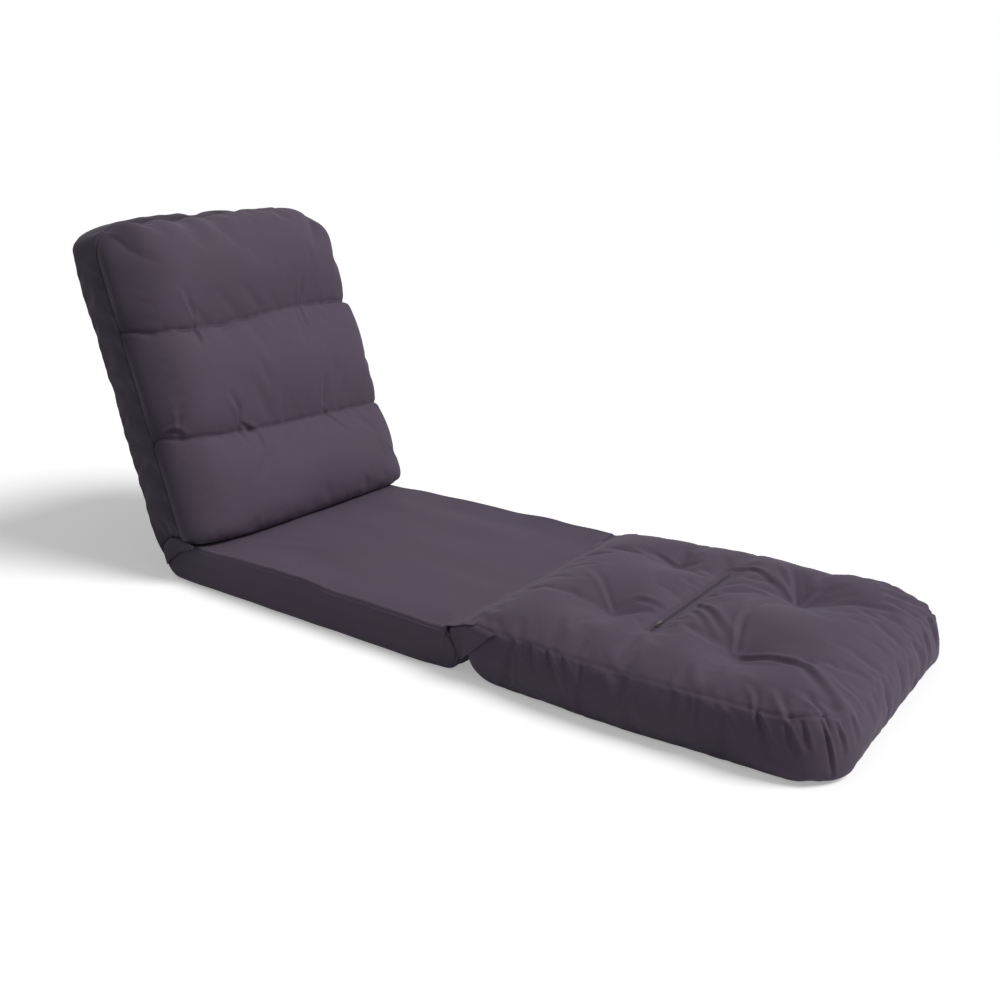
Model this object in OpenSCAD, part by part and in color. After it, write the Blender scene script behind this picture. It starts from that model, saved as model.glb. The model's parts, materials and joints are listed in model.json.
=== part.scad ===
// Folding floor chair, opened out as a lounger.
// A thin seat pad carries a quilted back on two ratchet hinges and a foot cushion that flips onto the seat.
// X is the width, the sitter faces -Y, Z is up. The origin is on the floor, under the middle of the seat.

/* [Chair] */
// Width over the seat's side panels; the stuffed back and foot cushion swell past it
chair_w = 550; // [500:5:600]

/* [Seat] */
// Length of the seat from the front fold seam to the recline axis
seat_l = 692; // [600:1:760]
// Thickness of the seat pad, which is twice the height of the recline axis
seat_t = 78; // [76:1:90]

/* [Back] */
// Length of the back above the recline axis
back_l = 700; // [600:1:760]
// How far the crown of the quilted front lies ahead of the recline axis
back_crown = 128; // [105:1:135]
// Depth of the two sewn cross seams below the crown of the quilt
seam_depth = 24; // [10:1:30]
// Lean of the back behind vertical in the photographed rest pose
rest_lean = 18.5; // [16:0.5:40]
// Lean at the most upright stop, where the back's lower edge just clears the seat
upright_lean = 15.5; // [15:0.5:16]

/* [Foot cushion] */
// Length of the foot cushion from the front fold seam to its end
foot_l = 636; // [560:1:700]
// Height of the foot cushion at its crown
foot_t = 118; // [105:1:125]
// Distance of the sewn tufts from the cushion's centre lines
tuft_spread = 125; // [90:1:150]
// Depth of the sewn tufts
tuft_depth = 15; // [5:1:20]
// Length of the zip on the foot cushion
zip_l = 290; // [200:1:320]

/* [Frame] */
// Outside diameter of the frame tube
tube_d = 19; // [18.5:0.1:20]
// Wall of the frame tube
tube_wall = 1.5; // [1.2:0.1:1.6]
// Distance of the side rails and hinges from the chair's side panels
rail_inset = 61; // [50:1:75]
// Radius of the tube bends, on the tube's centre line
bend_r = 60; // [40:1:80]
// Outside diameter of the cross bars
bar_d = 14; // [10:1:16]

/* [Ratchet hinge] */
// Thickness of the toothed plate
gear_t = 4; // [3:0.5:4.5]
// Radius over the tooth crests
crest_r = 23; // [21:0.5:23.2]
// Depth of the ratchet teeth
tooth_h = 4.5; // [2:0.5:6]
// Angle from one tooth to the next
tooth_pitch = 12; // [10:1:15]
// Thickness of each cheek of the hinge housing
cheek_t = 2.5; // [2:0.1:2.6]
// Radius of the pivot rivet's shank
pivot_r = 4; // [3:0.5:5]

/* [Hidden] */

// Colours of the finishes
cloth_colour = [0.33, 0.29, 0.36];
cloth_shade_colour = [0.25, 0.22, 0.27];
base_cloth_colour = [0.12, 0.12, 0.13];
foam_colour = [0.88, 0.85, 0.74];
fibre_colour = [0.93, 0.93, 0.91];
tube_colour = [0.16, 0.16, 0.17];
zinc_colour = [0.68, 0.69, 0.71];
nylon_colour = [0.2, 0.18, 0.21];

// Fits and clearances
cut_over = 1;
press_gap = 0.05;
run_gap = 0.05;
soft_gap = 0.3;
face_gap = 0.25;
swing_gap = 1;
round_steps = 48;

// Places shared by the pieces
half_w = chair_w/2;
stuffed_over = 10;
stuffed_half = half_w + stuffed_over;
axis_y = seat_l/2;
axis_z = seat_t/2;
roll_r = seat_t/2;
front_y = -seat_l/2;
rail_x = half_w - rail_inset;
tube_r = tube_d/2;
bore_r = tube_r - tube_wall;

// Seat pad
base_t = 1;
base_inset = 22;
base_corner_r = 20;
base_rear_gap = 32;
seat_front_bulge = 17;
seat_seam_r = 6;
seat_toe_r = 32;
seat_wall = 2.3;
core_inset = 13;
seat_draw = 4;
// Each ring of a sewn pad's side: how far in from the side panel it lies, and how far its outline is drawn in
pad_ring_in = [0, 0.4, 2, 5, 12, 45, 140];
pad_ring_draw = [24, 10, 3.5, 1.6, 0.7, 0.3, 0.1];
pad_run_steps = 5;

// Front fold between seat and foot cushion
fold_reach = 25;
fold_gap = 1;
fold_y = front_y - fold_reach;
fold_z = (seat_t + foot_t + fold_gap)/2;
flap_t = 1.6;
hem_r = 1.2;
flap_side_gap = 30;
flap_root = 6;
flap_rise = 8.2;

// Seat frame
frame_front_gap = 46;
tube_end_gap = 45;
bar_wall = 1.2;
bar_rear_gap = 120;
bar_front_gap = 190;
bar_ys = [axis_y - bar_rear_gap, 0, front_y + bar_front_gap];

// Back panel
back_half_t = 39;
roll_clear = 1;
back_top_r = 40;
back_corner_r = 70;
back_rim_r = 4;
back_wall = 2.3;
back_frame_top = 50;
back_tube_end = 62;
back_bar_shares = [0.16, 0.45, 0.72];

// Quilted front of the back
quilt_edge = 112;
quilt_fall = 14;
quilt_seam_shares = [0.33, 0.66];
quilt_tuft_share = 0.535;
quilt_tuft_depth = 11;
quilt_tuft_spread = 34;
quilt_top_gap = 25;
quilt_columns = 18;
quilt_rows = 33;
quilt_side_draw = 1;
quilt_corner_drop = 24;
quilt_corner_share = 0.07;
fill_r = 21;
fill_side = 48;
fill_end = 20;

// Ratchet hinge
tooth_count = 8;
first_tooth = 6;
tang_l = 95;
tang_h = 15;
tang_rivet_places = [60, 80];
rivet_r = 2.5;
rivet_head_r = 4.5;
rivet_head_t = 1.5;
disc_r = 25;
neck_half = 11;
neck_top = 64;
house_tang_half = 6;
house_tang_top = 104;
spacer_bottom = 60;
house_rivet_places = [74, 92];
pivot_head_r = 7;
pivot_head_t = 2;
band_half = 8.5;
band_reach = 27;
pawl_t = 3.9;
pawl_pin_r = 2;
pawl_boss_r = 5.5;
pawl_y = -14.5;
pawl_z = 27.4;
lug_r = 8;
pawl_tip_angle = 6;
pawl_tip_gap = 0.5;
pawl_tip_w = 3;
pawl_heel = 5;
web_t = 2.5;
web_bottom = 38;
web_top = 50;
spring_t = 0.8;
spring_w = 3.6;
spring_foot = 6;
spring_gap = 0.8;

// Foot cushion
foot_near_gap = 20;
foot_seam_z = 90;
foot_seam_in = 10;
foot_bulge_z = 50;
foot_sole_z = 12;
foot_sole_in = 9;
foot_rest_in = 20;
foot_near_seam_in = 3;
foot_near_sole_in = 18;
foot_near_rest_in = 28;
foot_near_round_share = 0.035;
foot_far_round_share = 0.1;
foot_columns = 20;
foot_rows = 22;
tuft_r = 34;
zip_trough = 8;
zip_trough_r = 30;
zip_trough_share = 0.6;
zip_z = 105;
zip_tape_w = 18;
zip_tape_t = 1;
zip_coil_w = 5;
zip_coil_t = 1.6;
zip_from_seam = 300;
slider_l = 11;
slider_w = 9;
slider_t = 4.6;
slider_from_end = 22;
pull_l = 20;
pull_w = 6;
pull_t = 1.2;
core_side = 60;
core_end = 45;
core_base = 18;
core_top = 76;
core_r = 60;

// Geometry helpers

// Points of an arc in the plane, from one angle to another
function arc(c, r, a0, a1, n) = [for (i = [0:n]) [c[0] + r*cos(a0 + (a1 - a0)*i/n),
    c[1] + r*sin(a0 + (a1 - a0)*i/n)]];

// Points between two ends, without the ends
function run(a, b, n) = [for (i = [1:n]) a + (b - a)*i/(n + 1)];

// A rounded corner of a profile that is drawn in by e, where sy and sz point into the profile
function corner(y, z, sy, sz, r, e, a0, a1, n) =
    let (k = max(r, e + soft_gap)) arc([y + sy*k, z + sz*k], k - e, a0, a1, n);

// The seat pad's side profile in Y and Z, drawn in by e: rolled rear end, flat top, bulging front, rounded toe
function seat_profile(e) =
    let (
        floor_angle = asin((axis_z - base_t - e)/(roll_r - e)),
        rear = arc([axis_y, axis_z], roll_r - e, -floor_angle, 90, 10),
        seam = corner(front_y, seat_t, 1, -1, seat_seam_r, e, 90, 150, 3),
        toe = corner(front_y - seat_front_bulge, base_t, 1, 1, seat_toe_r, e, 168, 270, 6),
        top = run(rear[10], seam[0], pad_run_steps),
        sole = run(toe[6], rear[0], pad_run_steps)
    ) concat(rear, top, seam, toe, sole);

// The back panel's side profile in the back's own frame, drawn in by e and with its top lowered by drop: the
// lower end is hollowed round the seat's roll and bevelled so that it just clears the seat when most upright
function back_profile(e, drop) =
    let (
        hollow_r = roll_r + roll_clear + e,
        bevel = roll_r + roll_clear/2 + e,
        half = back_half_t - e,
        rear_z = sqrt(hollow_r*hollow_r - half*half),
        meet = 90 + upright_lean + acos(bevel/hollow_r),
        hollow = arc([0, 0], hollow_r, meet, asin(rear_z/hollow_r), 12),
        front_z = (bevel - half*sin(upright_lean))/cos(upright_lean),
        heel = corner(back_half_t, back_l - drop, -1, -1, back_top_r, e, 0, 90, 7),
        brow = corner(-back_half_t, back_l - drop, 1, -1, back_rim_r, e, 90, 180, 3),
        rear = run(hollow[12], heel[0], pad_run_steps),
        top = run(heel[7], brow[0], 1),
        front = run(brow[3], [-half, front_z], pad_run_steps)
    ) concat([[-half, front_z]], hollow, rear, heel, top, brow, front);

// How much lower the back's top is at distance a from its side, for a round corner
function corner_drop(a) = a < back_corner_r ? back_corner_r - sqrt(pow(back_corner_r, 2) - pow(back_corner_r - a, 2)) : 0;

// A sewn pad: side profiles drawn in towards both side panels, whose sides pull in between the ends
module sewn_pad(profiles, half, draw, low, high) {
    n = len(profiles[0]);
    rings = len(profiles);
    total = 2*rings;
    function side(i) = i < rings ? -1 : 1;
    function ring(i) = i < rings ? i : total - 1 - i;
    function pull(p) = draw*sin(180*max(0, min(1, (p[0] - low)/(high - low))));
    points = [for (i = [0:total - 1]) for (p = profiles[ring(i)])
        [side(i)*(half - pad_ring_in[ring(i)] - pull(p)), p[0], p[1]]];
    caps = [for (s = [-1, 1]) [s*(half - draw), (low + high)/2,
        (max([for (p = profiles[0]) p[1]]) + min([for (p = profiles[0]) p[1]]))/2]];
    walls = [for (i = [0:total - 2]) for (j = [0:n - 1])
        let (a = i*n + j, b = i*n + (j + 1)%n, c = a + n, d = b + n) each [[a, d, b], [a, c, d]]];
    near_cap = [for (j = [0:n - 1]) [total*n, j, (j + 1)%n]];
    far_cap = [for (j = [0:n - 1]) [total*n + 1, (total - 1)*n + (j + 1)%n, (total - 1)*n + j]];
    polyhedron(concat(points, caps), concat(walls, near_cap, far_cap));
}

// Index pair of the k-th point round the edge of a grid with nu by nv cells
function edge_cell(k, nu, nv) = k < nu ? [k, 0] : k < nu + nv ? [nu, k - nu] :
    k < 2*nu + nv ? [2*nu + nv - k, nv] : [0, 2*nu + 2*nv - k];

// A stuffed cushion: a grid of points for its face, then rings round its side, the last one closed by a fan
// from its middle
module stuffed(face, rims, nu, nv) {
    edge = 2*(nu + nv);
    first = (nu + 1)*(nv + 1);
    function at(i, j) = i*(nv + 1) + j;
    function rim_at(r, k) = let (c = edge_cell(k%edge, nu, nv)) r < 0 ? at(c[0], c[1]) : first + r*edge + k%edge;
    last = first + (len(rims) - 1)*edge;
    ringed = concat([for (i = [0:nu]) for (j = [0:nv]) face(i, j)],
        [for (rim = rims) for (k = [0:edge - 1]) let (c = edge_cell(k, nu, nv)) rim(c[0], c[1])]);
    middle = (ringed[last] + ringed[last + nu + nv])/2;
    cells = [for (i = [0:nu - 1]) for (j = [0:nv - 1])
        each [[at(i, j), at(i + 1, j + 1), at(i + 1, j)], [at(i, j), at(i, j + 1), at(i + 1, j + 1)]]];
    sides = [for (r = [-1:len(rims) - 2]) for (k = [0:edge - 1])
        each [[rim_at(r, k), rim_at(r, k + 1), rim_at(r + 1, k + 1)],
            [rim_at(r, k), rim_at(r + 1, k + 1), rim_at(r + 1, k)]]];
    base = [for (k = [0:edge - 1]) [rim_at(len(rims) - 1, k), rim_at(len(rims) - 1, k + 1), len(ringed)]];
    polyhedron(concat(ringed, [middle]), concat(cells, sides, base));
}

// A U of round section in the XY plane: its bow lies at y0 and its legs end at y1
module bent_u(y0, y1, r) {
    for (s = [-1, 1]) {
        translate([s*rail_x, y0 + bend_r, 0]) rotate([-90, 0, 0])
            cylinder(r = r, h = y1 - y0 - bend_r, $fn = round_steps);
        translate([s*(rail_x - bend_r), y0 + bend_r, 0]) rotate([0, 0, s > 0 ? 270 : 180])
            rotate_extrude(angle = 90, $fn = round_steps) translate([bend_r, 0]) circle(r = r, $fn = round_steps);
    }
    translate([-(rail_x - bend_r), y0, 0]) rotate([0, 90, 0])
        cylinder(r = r, h = 2*(rail_x - bend_r), $fn = round_steps);
}

// A rod along X, centred on the origin
module cross_rod(r, l) {
    rotate([0, 90, 0]) cylinder(r = r, h = l, center = true, $fn = round_steps);
}

// A plate that stands square to X and is centred on it, drawn as Y to the right and Z up
module side_plate(t) {
    rotate([90, 0, 90]) translate([0, 0, -t/2]) linear_extrude(t) children();
}

// Places its children in the back's own frame: Y points to the rear of the back, Z along it
module on_back() {
    translate([0, axis_y, axis_z]) rotate([-rest_lean, 0, 0]) children();
}

// A rivet across the tube, with a head on both sides
module tube_rivet(gap) {
    cross_rod(rivet_r + gap, tube_d + 2*gap);
    for (s = [-1, 1]) translate([s*(tube_r + rivet_head_t/2), 0, 0]) cross_rod(rivet_head_r + gap, rivet_head_t + 2*gap);
}

// Seat body

module seat_core(e) {
    side_plate(2*(half_w - core_inset) - 2*e) polygon(seat_profile(seat_wall + e));
}

module hinge_bands(low, high) {
    for (s = [-1, 1]) translate([s*rail_x - band_half, axis_y - band_reach, low])
        cube([2*band_half, band_reach + roll_r + cut_over, high - low]);
}

module seat_cover() {
    color(cloth_colour) difference() {
        sewn_pad([for (e = pad_ring_draw) seat_profile(e)], half_w, seat_draw, front_y, axis_y);
        seat_core(0);
        hinge_bands(-cut_over, seat_t + cut_over);
    }
}

module seat_frame_line(r, over) {
    translate([0, 0, axis_z]) bent_u(front_y + frame_front_gap, axis_y - tube_end_gap + over, r);
}

module seat_bars(r) {
    for (y = bar_ys) translate([0, y, axis_z]) cross_rod(r, 2*rail_x);
}

module seat_foam() {
    color(foam_colour) difference() {
        seat_core(soft_gap);
        hinge_bands(-cut_over, seat_t + cut_over);
        seat_frame_line(tube_r + soft_gap, 0);
        seat_bars(bar_d/2 + soft_gap);
        for (s = [-1, 1]) {
            translate([s*rail_x, axis_y - (tube_end_gap + band_reach)/2, axis_z])
                cube([gear_t + 2*swing_gap, tube_end_gap - band_reach + 2*swing_gap, tang_h + 2*swing_gap],
                    center = true);
            for (d = tang_rivet_places) translate([s*rail_x, axis_y - d, axis_z]) tube_rivet(soft_gap);
        }
    }
}

module seat_frame() {
    color(tube_colour) difference() {
        seat_frame_line(tube_r, 0);
        seat_frame_line(bore_r, cut_over);
        for (s = [-1, 1]) for (d = tang_rivet_places) translate([s*rail_x, axis_y - d, axis_z])
            cross_rod(rivet_r + press_gap, tube_d + 2*cut_over);
    }
}

module seat_cross_bars() {
    color(tube_colour) difference() {
        seat_bars(bar_d/2);
        seat_bars(bar_d/2 - bar_wall);
        seat_frame_line(tube_r + press_gap, 0);
    }
}

module seat_base_cloth() {
    x = half_w - base_inset;
    y0 = front_y;
    y1 = axis_y - base_rear_gap;
    r = base_corner_r;
    color(base_cloth_colour) linear_extrude(base_t) union() {
        translate([-x, y0 + r]) square([2*x, y1 - y0 - 2*r]);
        translate([-x + r, y0]) square([2*(x - r), y1 - y0]);
        for (sx = [-1, 1]) for (y = [y0 + r, y1 - r]) translate([sx*(x - r), y]) circle(r = r, $fn = round_steps);
    }
}

// The flap rises from the seat's top seam and ends in a rolled hem on the fold axis
module seat_fold_flap() {
    color(cloth_shade_colour) side_plate(2*(half_w - flap_side_gap)) {
        polygon([
            [front_y + flap_root, seat_t + press_gap],
            [front_y + flap_root, seat_t + press_gap + flap_t],
            [fold_y, fold_z],
            [fold_y, fold_z - flap_t/2]
        ]);
        translate([fold_y, fold_z]) circle(r = hem_r, $fn = round_steps);
    }
}

// Outline of the toothed disc: each tooth rises square to the rim and falls away behind it
function ratchet_outline() =
    let (
        last = first_tooth + tooth_count*tooth_pitch,
        teeth = [for (i = [0:tooth_count - 1]) let (a = 90 - first_tooth - i*tooth_pitch) each [
            (crest_r - tooth_h)*[cos(a), sin(a)],
            crest_r*[cos(a), sin(a)],
            (crest_r - tooth_h/2)*[cos(a - tooth_pitch/2), sin(a - tooth_pitch/2)]]],
        rest = arc([0, 0], crest_r - tooth_h, 90 - last, 90 - first_tooth - 360 + tooth_pitch/4, 24)
    ) concat(teeth, rest);

module gear_plate(s) {
    color(zinc_colour) translate([s*rail_x, axis_y, axis_z]) difference() {
        side_plate(gear_t) {
            polygon(ratchet_outline());
            translate([-tang_l, -tang_h/2]) square([tang_l, tang_h]);
        }
        cross_rod(pivot_r + press_gap, gear_t + 2*cut_over);
        for (d = tang_rivet_places) translate([0, -d, 0]) cross_rod(rivet_r + press_gap, gear_t + 2*cut_over);
    }
}

module gear_plate_left() {
    gear_plate(-1);
}

module gear_plate_right() {
    gear_plate(1);
}

// Half the width over the two cheeks of a hinge housing
cheek_out = gear_t/2 + face_gap + cheek_t;

module pivot_rivet(s) {
    color(zinc_colour) translate([s*rail_x, axis_y, axis_z]) {
        cross_rod(pivot_r, 2*(cheek_out + face_gap));
        for (side = [-1, 1]) translate([side*(cheek_out + face_gap + pivot_head_t/2), 0, 0])
            cross_rod(pivot_head_r, pivot_head_t);
    }
}

module pivot_rivet_left() {
    pivot_rivet(-1);
}

module pivot_rivet_right() {
    pivot_rivet(1);
}

module seat_frame_rivets() {
    color(zinc_colour) for (s = [-1, 1]) for (d = tang_rivet_places)
        translate([s*rail_x, axis_y - d, axis_z]) tube_rivet(0);
}

// Back body

module back_core(e) {
    x = stuffed_half - core_inset - e;
    z = back_l - back_wall - e;
    r = back_corner_r - core_inset;
    intersection() {
        side_plate(2*x) polygon(back_profile(back_wall + e, 0));
        translate([0, back_half_t, 0]) rotate([90, 0, 0]) linear_extrude(2*back_half_t) union() {
            translate([-x, 0]) square([2*x, z - r]);
            translate([-x + r, 0]) square([2*(x - r), z]);
            for (s = [-1, 1]) translate([s*(x - r), z - r]) circle(r = r, $fn = round_steps);
        }
    }
}

module back_frame_line(r, over) {
    rotate([-90, 0, 0]) bent_u(-(back_l - back_frame_top), -(back_tube_end - over), r);
}

module back_bars(r) {
    for (k = back_bar_shares) translate([0, 0, k*back_l]) cross_rod(r, 2*rail_x);
}

// The room that a hinge housing takes in the lower end of the back
module housing_room() {
    for (s = [-1, 1]) {
        translate([s*rail_x - band_half, -neck_half - swing_gap, 0])
            cube([2*band_half, 2*(neck_half + swing_gap), back_tube_end]);
        translate([s*rail_x, pawl_y, pawl_z]) cross_rod(lug_r + 2*swing_gap, 2*band_half);
    }
}

module back_cover() {
    color(cloth_shade_colour) on_back() difference() {
        sewn_pad([for (i = [0:len(pad_ring_in) - 1]) back_profile(pad_ring_draw[i], corner_drop(pad_ring_in[i]))],
            stuffed_half, 0, -back_half_t, back_half_t);
        back_core(0);
        housing_room();
    }
}

module back_foam() {
    color(foam_colour) on_back() difference() {
        back_core(soft_gap);
        housing_room();
        back_frame_line(tube_r + soft_gap, 0);
        back_bars(bar_d/2 + soft_gap);
        for (s = [-1, 1]) for (d = house_rivet_places) translate([s*rail_x, 0, d]) tube_rivet(soft_gap);
    }
}

module back_frame() {
    color(tube_colour) on_back() difference() {
        back_frame_line(tube_r, 0);
        back_frame_line(bore_r, cut_over);
        for (s = [-1, 1]) for (d = house_rivet_places) translate([s*rail_x, 0, d])
            cross_rod(rivet_r + press_gap, tube_d + 2*cut_over);
    }
}

module back_cross_bars() {
    color(tube_colour) on_back() difference() {
        back_bars(bar_d/2);
        back_bars(bar_d/2 - bar_wall);
        back_frame_line(tube_r + press_gap, 0);
    }
}

// Where the quilt's rows lie: closer together at both ends
function quilt_share(j) = (1 - cos(180*j/quilt_rows))/2;

// Height of a stuffed chamber at share t of the back: full in the middle and drawn down to the cross seams
function chamber(t) =
    let (
        ends = concat([0], quilt_seam_shares, [1]),
        k = t < ends[1] ? 0 : t < ends[2] ? 1 : 2,
        v = 2*(t - ends[k])/(ends[k + 1] - ends[k]) - 1,
        inner = (k == 0 && v < 0) || (k == 2 && v > 0) ? 0 : pow(abs(v), 3)
    ) 1 - inner;

quilt_low = back_half_t + soft_gap;
quilt_half = stuffed_half - quilt_side_draw;
quilt_bottom = (roll_r + roll_clear/2 - quilt_low*sin(upright_lean))/cos(upright_lean);
quilt_top = back_l - quilt_top_gap;
quilt_tuft_x = quilt_tuft_share*half_w;

// Distance of the quilt's face ahead of the axis, at shares u across and t along the back: it falls towards the top
function quilt_face(u, t) =
    let (
        z = quilt_bottom + t*(quilt_top - quilt_bottom),
        w = 2*t - 1,
        ends = pow(max(0, 1 - pow(abs(w), w > 0 ? 7 : 12)), 0.5),
        sides = pow(max(0, 1 - pow(abs(u), 8)), 0.5),
        swell = back_crown - seam_depth + seam_depth*chamber(t) - quilt_edge,
        tufts = [for (k = quilt_seam_shares) for (s = [-1, 1])
            exp(-(pow(u*half_w - s*quilt_tuft_x, 2) + pow(z - (quilt_bottom + k*(quilt_top - quilt_bottom)), 2))
                /pow(quilt_tuft_spread, 2))]
    ) quilt_edge - quilt_fall*t + swell*ends*sides - quilt_tuft_depth*(tufts[0] + tufts[1] + tufts[2] + tufts[3]);

// A point of the quilt: its lower edge follows the bevel that clears the seat, its top corners are rounded
function quilt_point(u, t, ahead) =
    let (
        bevel = tan(upright_lean)*(ahead - quilt_low)*pow(1 - t, 6),
        drop = quilt_corner_drop*pow(abs(u), 8)*pow(t, 12),
        x = u*quilt_half*(1 - quilt_corner_share*pow(abs(u*t), 12))
    ) [x, -ahead, quilt_bottom + t*(quilt_top - quilt_bottom) - bevel - drop];

module back_quilt() {
    face = function(i, j) let (u = sin(90*(2*i/quilt_columns - 1)), t = quilt_share(j))
        quilt_point(u, t, quilt_face(u, t));
    rim = function(i, j) quilt_point(sin(90*(2*i/quilt_columns - 1)), quilt_share(j), quilt_low);
    color(cloth_colour) on_back() difference() {
        stuffed(face, [rim], quilt_columns, quilt_rows);
        for (k = [0:2]) fill_bag(k, 0);
    }
}

// One stuffed fibre bag of the quilt, lower, middle or upper
module fill_bag(k, e) {
    ends = concat([0], quilt_seam_shares, [1]);
    low = quilt_bottom + ends[k]*(quilt_top - quilt_bottom) + fill_end + fill_r;
    high = quilt_bottom + ends[k + 1]*(quilt_top - quilt_bottom) - fill_end - fill_r;
    ahead = (quilt_low + quilt_edge)/2 + fill_r/4;
    side_plate(2*(half_w - fill_side) - 2*e) {
        translate([-ahead - fill_r + e, low]) square([2*(fill_r - e), high - low]);
        for (z = [low, high]) translate([-ahead, z]) circle(r = fill_r - e, $fn = round_steps);
    }
}

module back_fill_lower() {
    color(fibre_colour) on_back() fill_bag(0, soft_gap);
}

module back_fill_middle() {
    color(fibre_colour) on_back() fill_bag(1, soft_gap);
}

module back_fill_upper() {
    color(fibre_colour) on_back() fill_bag(2, soft_gap);
}

// Outline of one cheek: disc round the pivot, lug for the pawl's pin, neck, and tang inside the tube
module cheek_outline() {
    circle(r = disc_r, $fn = round_steps);
    translate([pawl_y, pawl_z]) circle(r = lug_r, $fn = round_steps);
    translate([-neck_half, 0]) square([2*neck_half, neck_top - neck_half + house_tang_half]);
    translate([-house_tang_half, 0]) square([2*house_tang_half, house_tang_top]);
}

module hinge_housing(s) {
    inner = gear_t/2 + face_gap;
    color(zinc_colour) on_back() translate([s*rail_x, 0, 0]) {
        difference() {
            union() {
                for (side = [-1, 1]) translate([side*(inner + cheek_t/2), 0, 0]) side_plate(cheek_t) cheek_outline();
                translate([-inner, -house_tang_half, spacer_bottom])
                    cube([2*inner, 2*house_tang_half, house_tang_top - spacer_bottom]);
                translate([-inner, neck_half - web_t, web_bottom]) cube([2*inner, web_t, web_top - web_bottom]);
            }
            cross_rod(pivot_r + run_gap, 2*cheek_out + 2*cut_over);
            for (d = house_rivet_places) translate([0, 0, d]) cross_rod(rivet_r + press_gap, 2*cheek_out + 2*cut_over);
        }
        translate([0, pawl_y, pawl_z]) cross_rod(pawl_pin_r, 2*cheek_out);
    }
}

module hinge_housing_left() {
    hinge_housing(-1);
}

module hinge_housing_right() {
    hinge_housing(1);
}

module back_frame_rivets() {
    color(zinc_colour) on_back() for (s = [-1, 1]) for (d = house_rivet_places)
        translate([s*rail_x, 0, d]) tube_rivet(0);
}

// The pawl's tip, in the back's own frame, just clear of the tooth crests
tip_r = crest_r + pawl_tip_gap;
tip_y = tip_r*sin(pawl_tip_angle);
tip_z = tip_r*cos(pawl_tip_angle);

// The pawl lies nearly along the rim, so that it pushes on a tooth's square face
module pawl(s) {
    color(zinc_colour) on_back() translate([s*rail_x, 0, 0]) difference() {
        side_plate(pawl_t) {
            translate([pawl_y, pawl_z]) circle(r = pawl_boss_r, $fn = round_steps);
            polygon([[pawl_y, pawl_z - pawl_boss_r/2], [tip_y - pawl_tip_w, tip_z + pawl_tip_w/2], [tip_y, tip_z],
                [tip_y + pawl_tip_w/2, tip_z + pawl_heel], [pawl_y, pawl_z + pawl_boss_r]]);
        }
        translate([0, pawl_y, pawl_z]) cross_rod(pawl_pin_r + run_gap, pawl_t + 2*cut_over);
    }
}

module pawl_left() {
    pawl(-1);
}

module pawl_right() {
    pawl(1);
}

// A leaf spring from the housing's rear web down onto the pawl
module pawl_spring(s) {
    y0 = neck_half - web_t - press_gap;
    y1 = tip_y - pawl_tip_w/2;
    z1 = tip_z + pawl_heel + spring_gap;
    color(zinc_colour) on_back() translate([s*rail_x, 0, 0]) side_plate(spring_w) polygon([
        [y0, web_top], [y0 - spring_t, web_top], [y0 - spring_t, web_top - spring_foot],
        [y1, z1 + spring_t], [y1, z1], [y0, web_top - spring_foot - spring_t]
    ]);
}

module pawl_spring_left() {
    pawl_spring(-1);
}

module pawl_spring_right() {
    pawl_spring(1);
}

// Foot body

foot_near_y = front_y - foot_near_gap;
foot_far_y = front_y - foot_l;
foot_mid_y = (foot_near_y + foot_far_y)/2;
foot_half_l = (foot_near_y - foot_far_y)/2;
zip_y = front_y - zip_from_seam;

// Plan of the cushion at shares u and v, drawn in by the sides, by its near end and by its far end
function foot_plan(u, v, side_in, near_in, far_in) =
    let (
        share = v > 0 ? foot_near_round_share : foot_far_round_share,
        y0 = foot_far_y + far_in,
        y1 = foot_near_y - near_in,
        round_u = 1 - share*pow(abs(v), 6),
        round_v = 1 - share*pow(abs(u), 6)
    ) [u*(stuffed_half - side_in)*round_u, (y0 + y1)/2 + v*round_v*(y1 - y0)/2];

// Height of the cushion's face: its crown, five tufts like a five on a die, and a trough along the zip
function foot_face(u, v) =
    let (
        p = foot_plan(u, v, foot_seam_in, foot_near_seam_in, foot_seam_in),
        crown = (1 - pow(abs(u), 7))*(1 - pow(abs(v), v > 0 ? 8 : 7)),
        ties = concat([[0, zip_y]], [for (a = [-1, 1]) for (b = [-1, 1]) [a*tuft_spread, foot_mid_y + b*tuft_spread]]),
        pulls = [for (c = ties) exp(-(pow(p[0] - c[0], 2) + pow(p[1] - c[1], 2))/pow(tuft_r, 2))],
        trough = zip_trough*exp(-pow((p[1] - zip_y)/zip_trough_r, 2))*exp(-pow(p[0]/(zip_trough_share*zip_l), 8)),
        sink = tuft_depth*(pulls[1] + pulls[2] + pulls[3] + pulls[4]) + tuft_depth*pulls[0]/2
    ) [p[0], p[1], foot_seam_z + (foot_t - foot_seam_z)*crown - min(1, 2*crown)*(sink + trough)];

module foot_cushion() {
    cell_u = function(i) sin(90*(2*i/foot_columns - 1));
    cell_v = function(j) sin(90*(2*j/foot_rows - 1));
    face = function(i, j) foot_face(cell_u(i), cell_v(j));
    function ring(i, j, side_in, near_in, z) =
        let (p = foot_plan(cell_u(i), cell_v(j), side_in, near_in, side_in)) [p[0], p[1], z];
    rims = [
        function(i, j) ring(i, j, 0, 0, foot_bulge_z),
        function(i, j) ring(i, j, foot_sole_in, foot_near_sole_in, foot_sole_z),
        function(i, j) ring(i, j, foot_rest_in, foot_near_rest_in, 0)
    ];
    color(cloth_colour) difference() {
        stuffed(face, rims, foot_columns, foot_rows);
        core_block(0);
        translate([-zip_l/2 - soft_gap, zip_y - zip_tape_w/2 - soft_gap, zip_z])
            cube([zip_l + 2*soft_gap, zip_tape_w + 2*soft_gap, foot_t - zip_z + cut_over]);
    }
}

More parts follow.
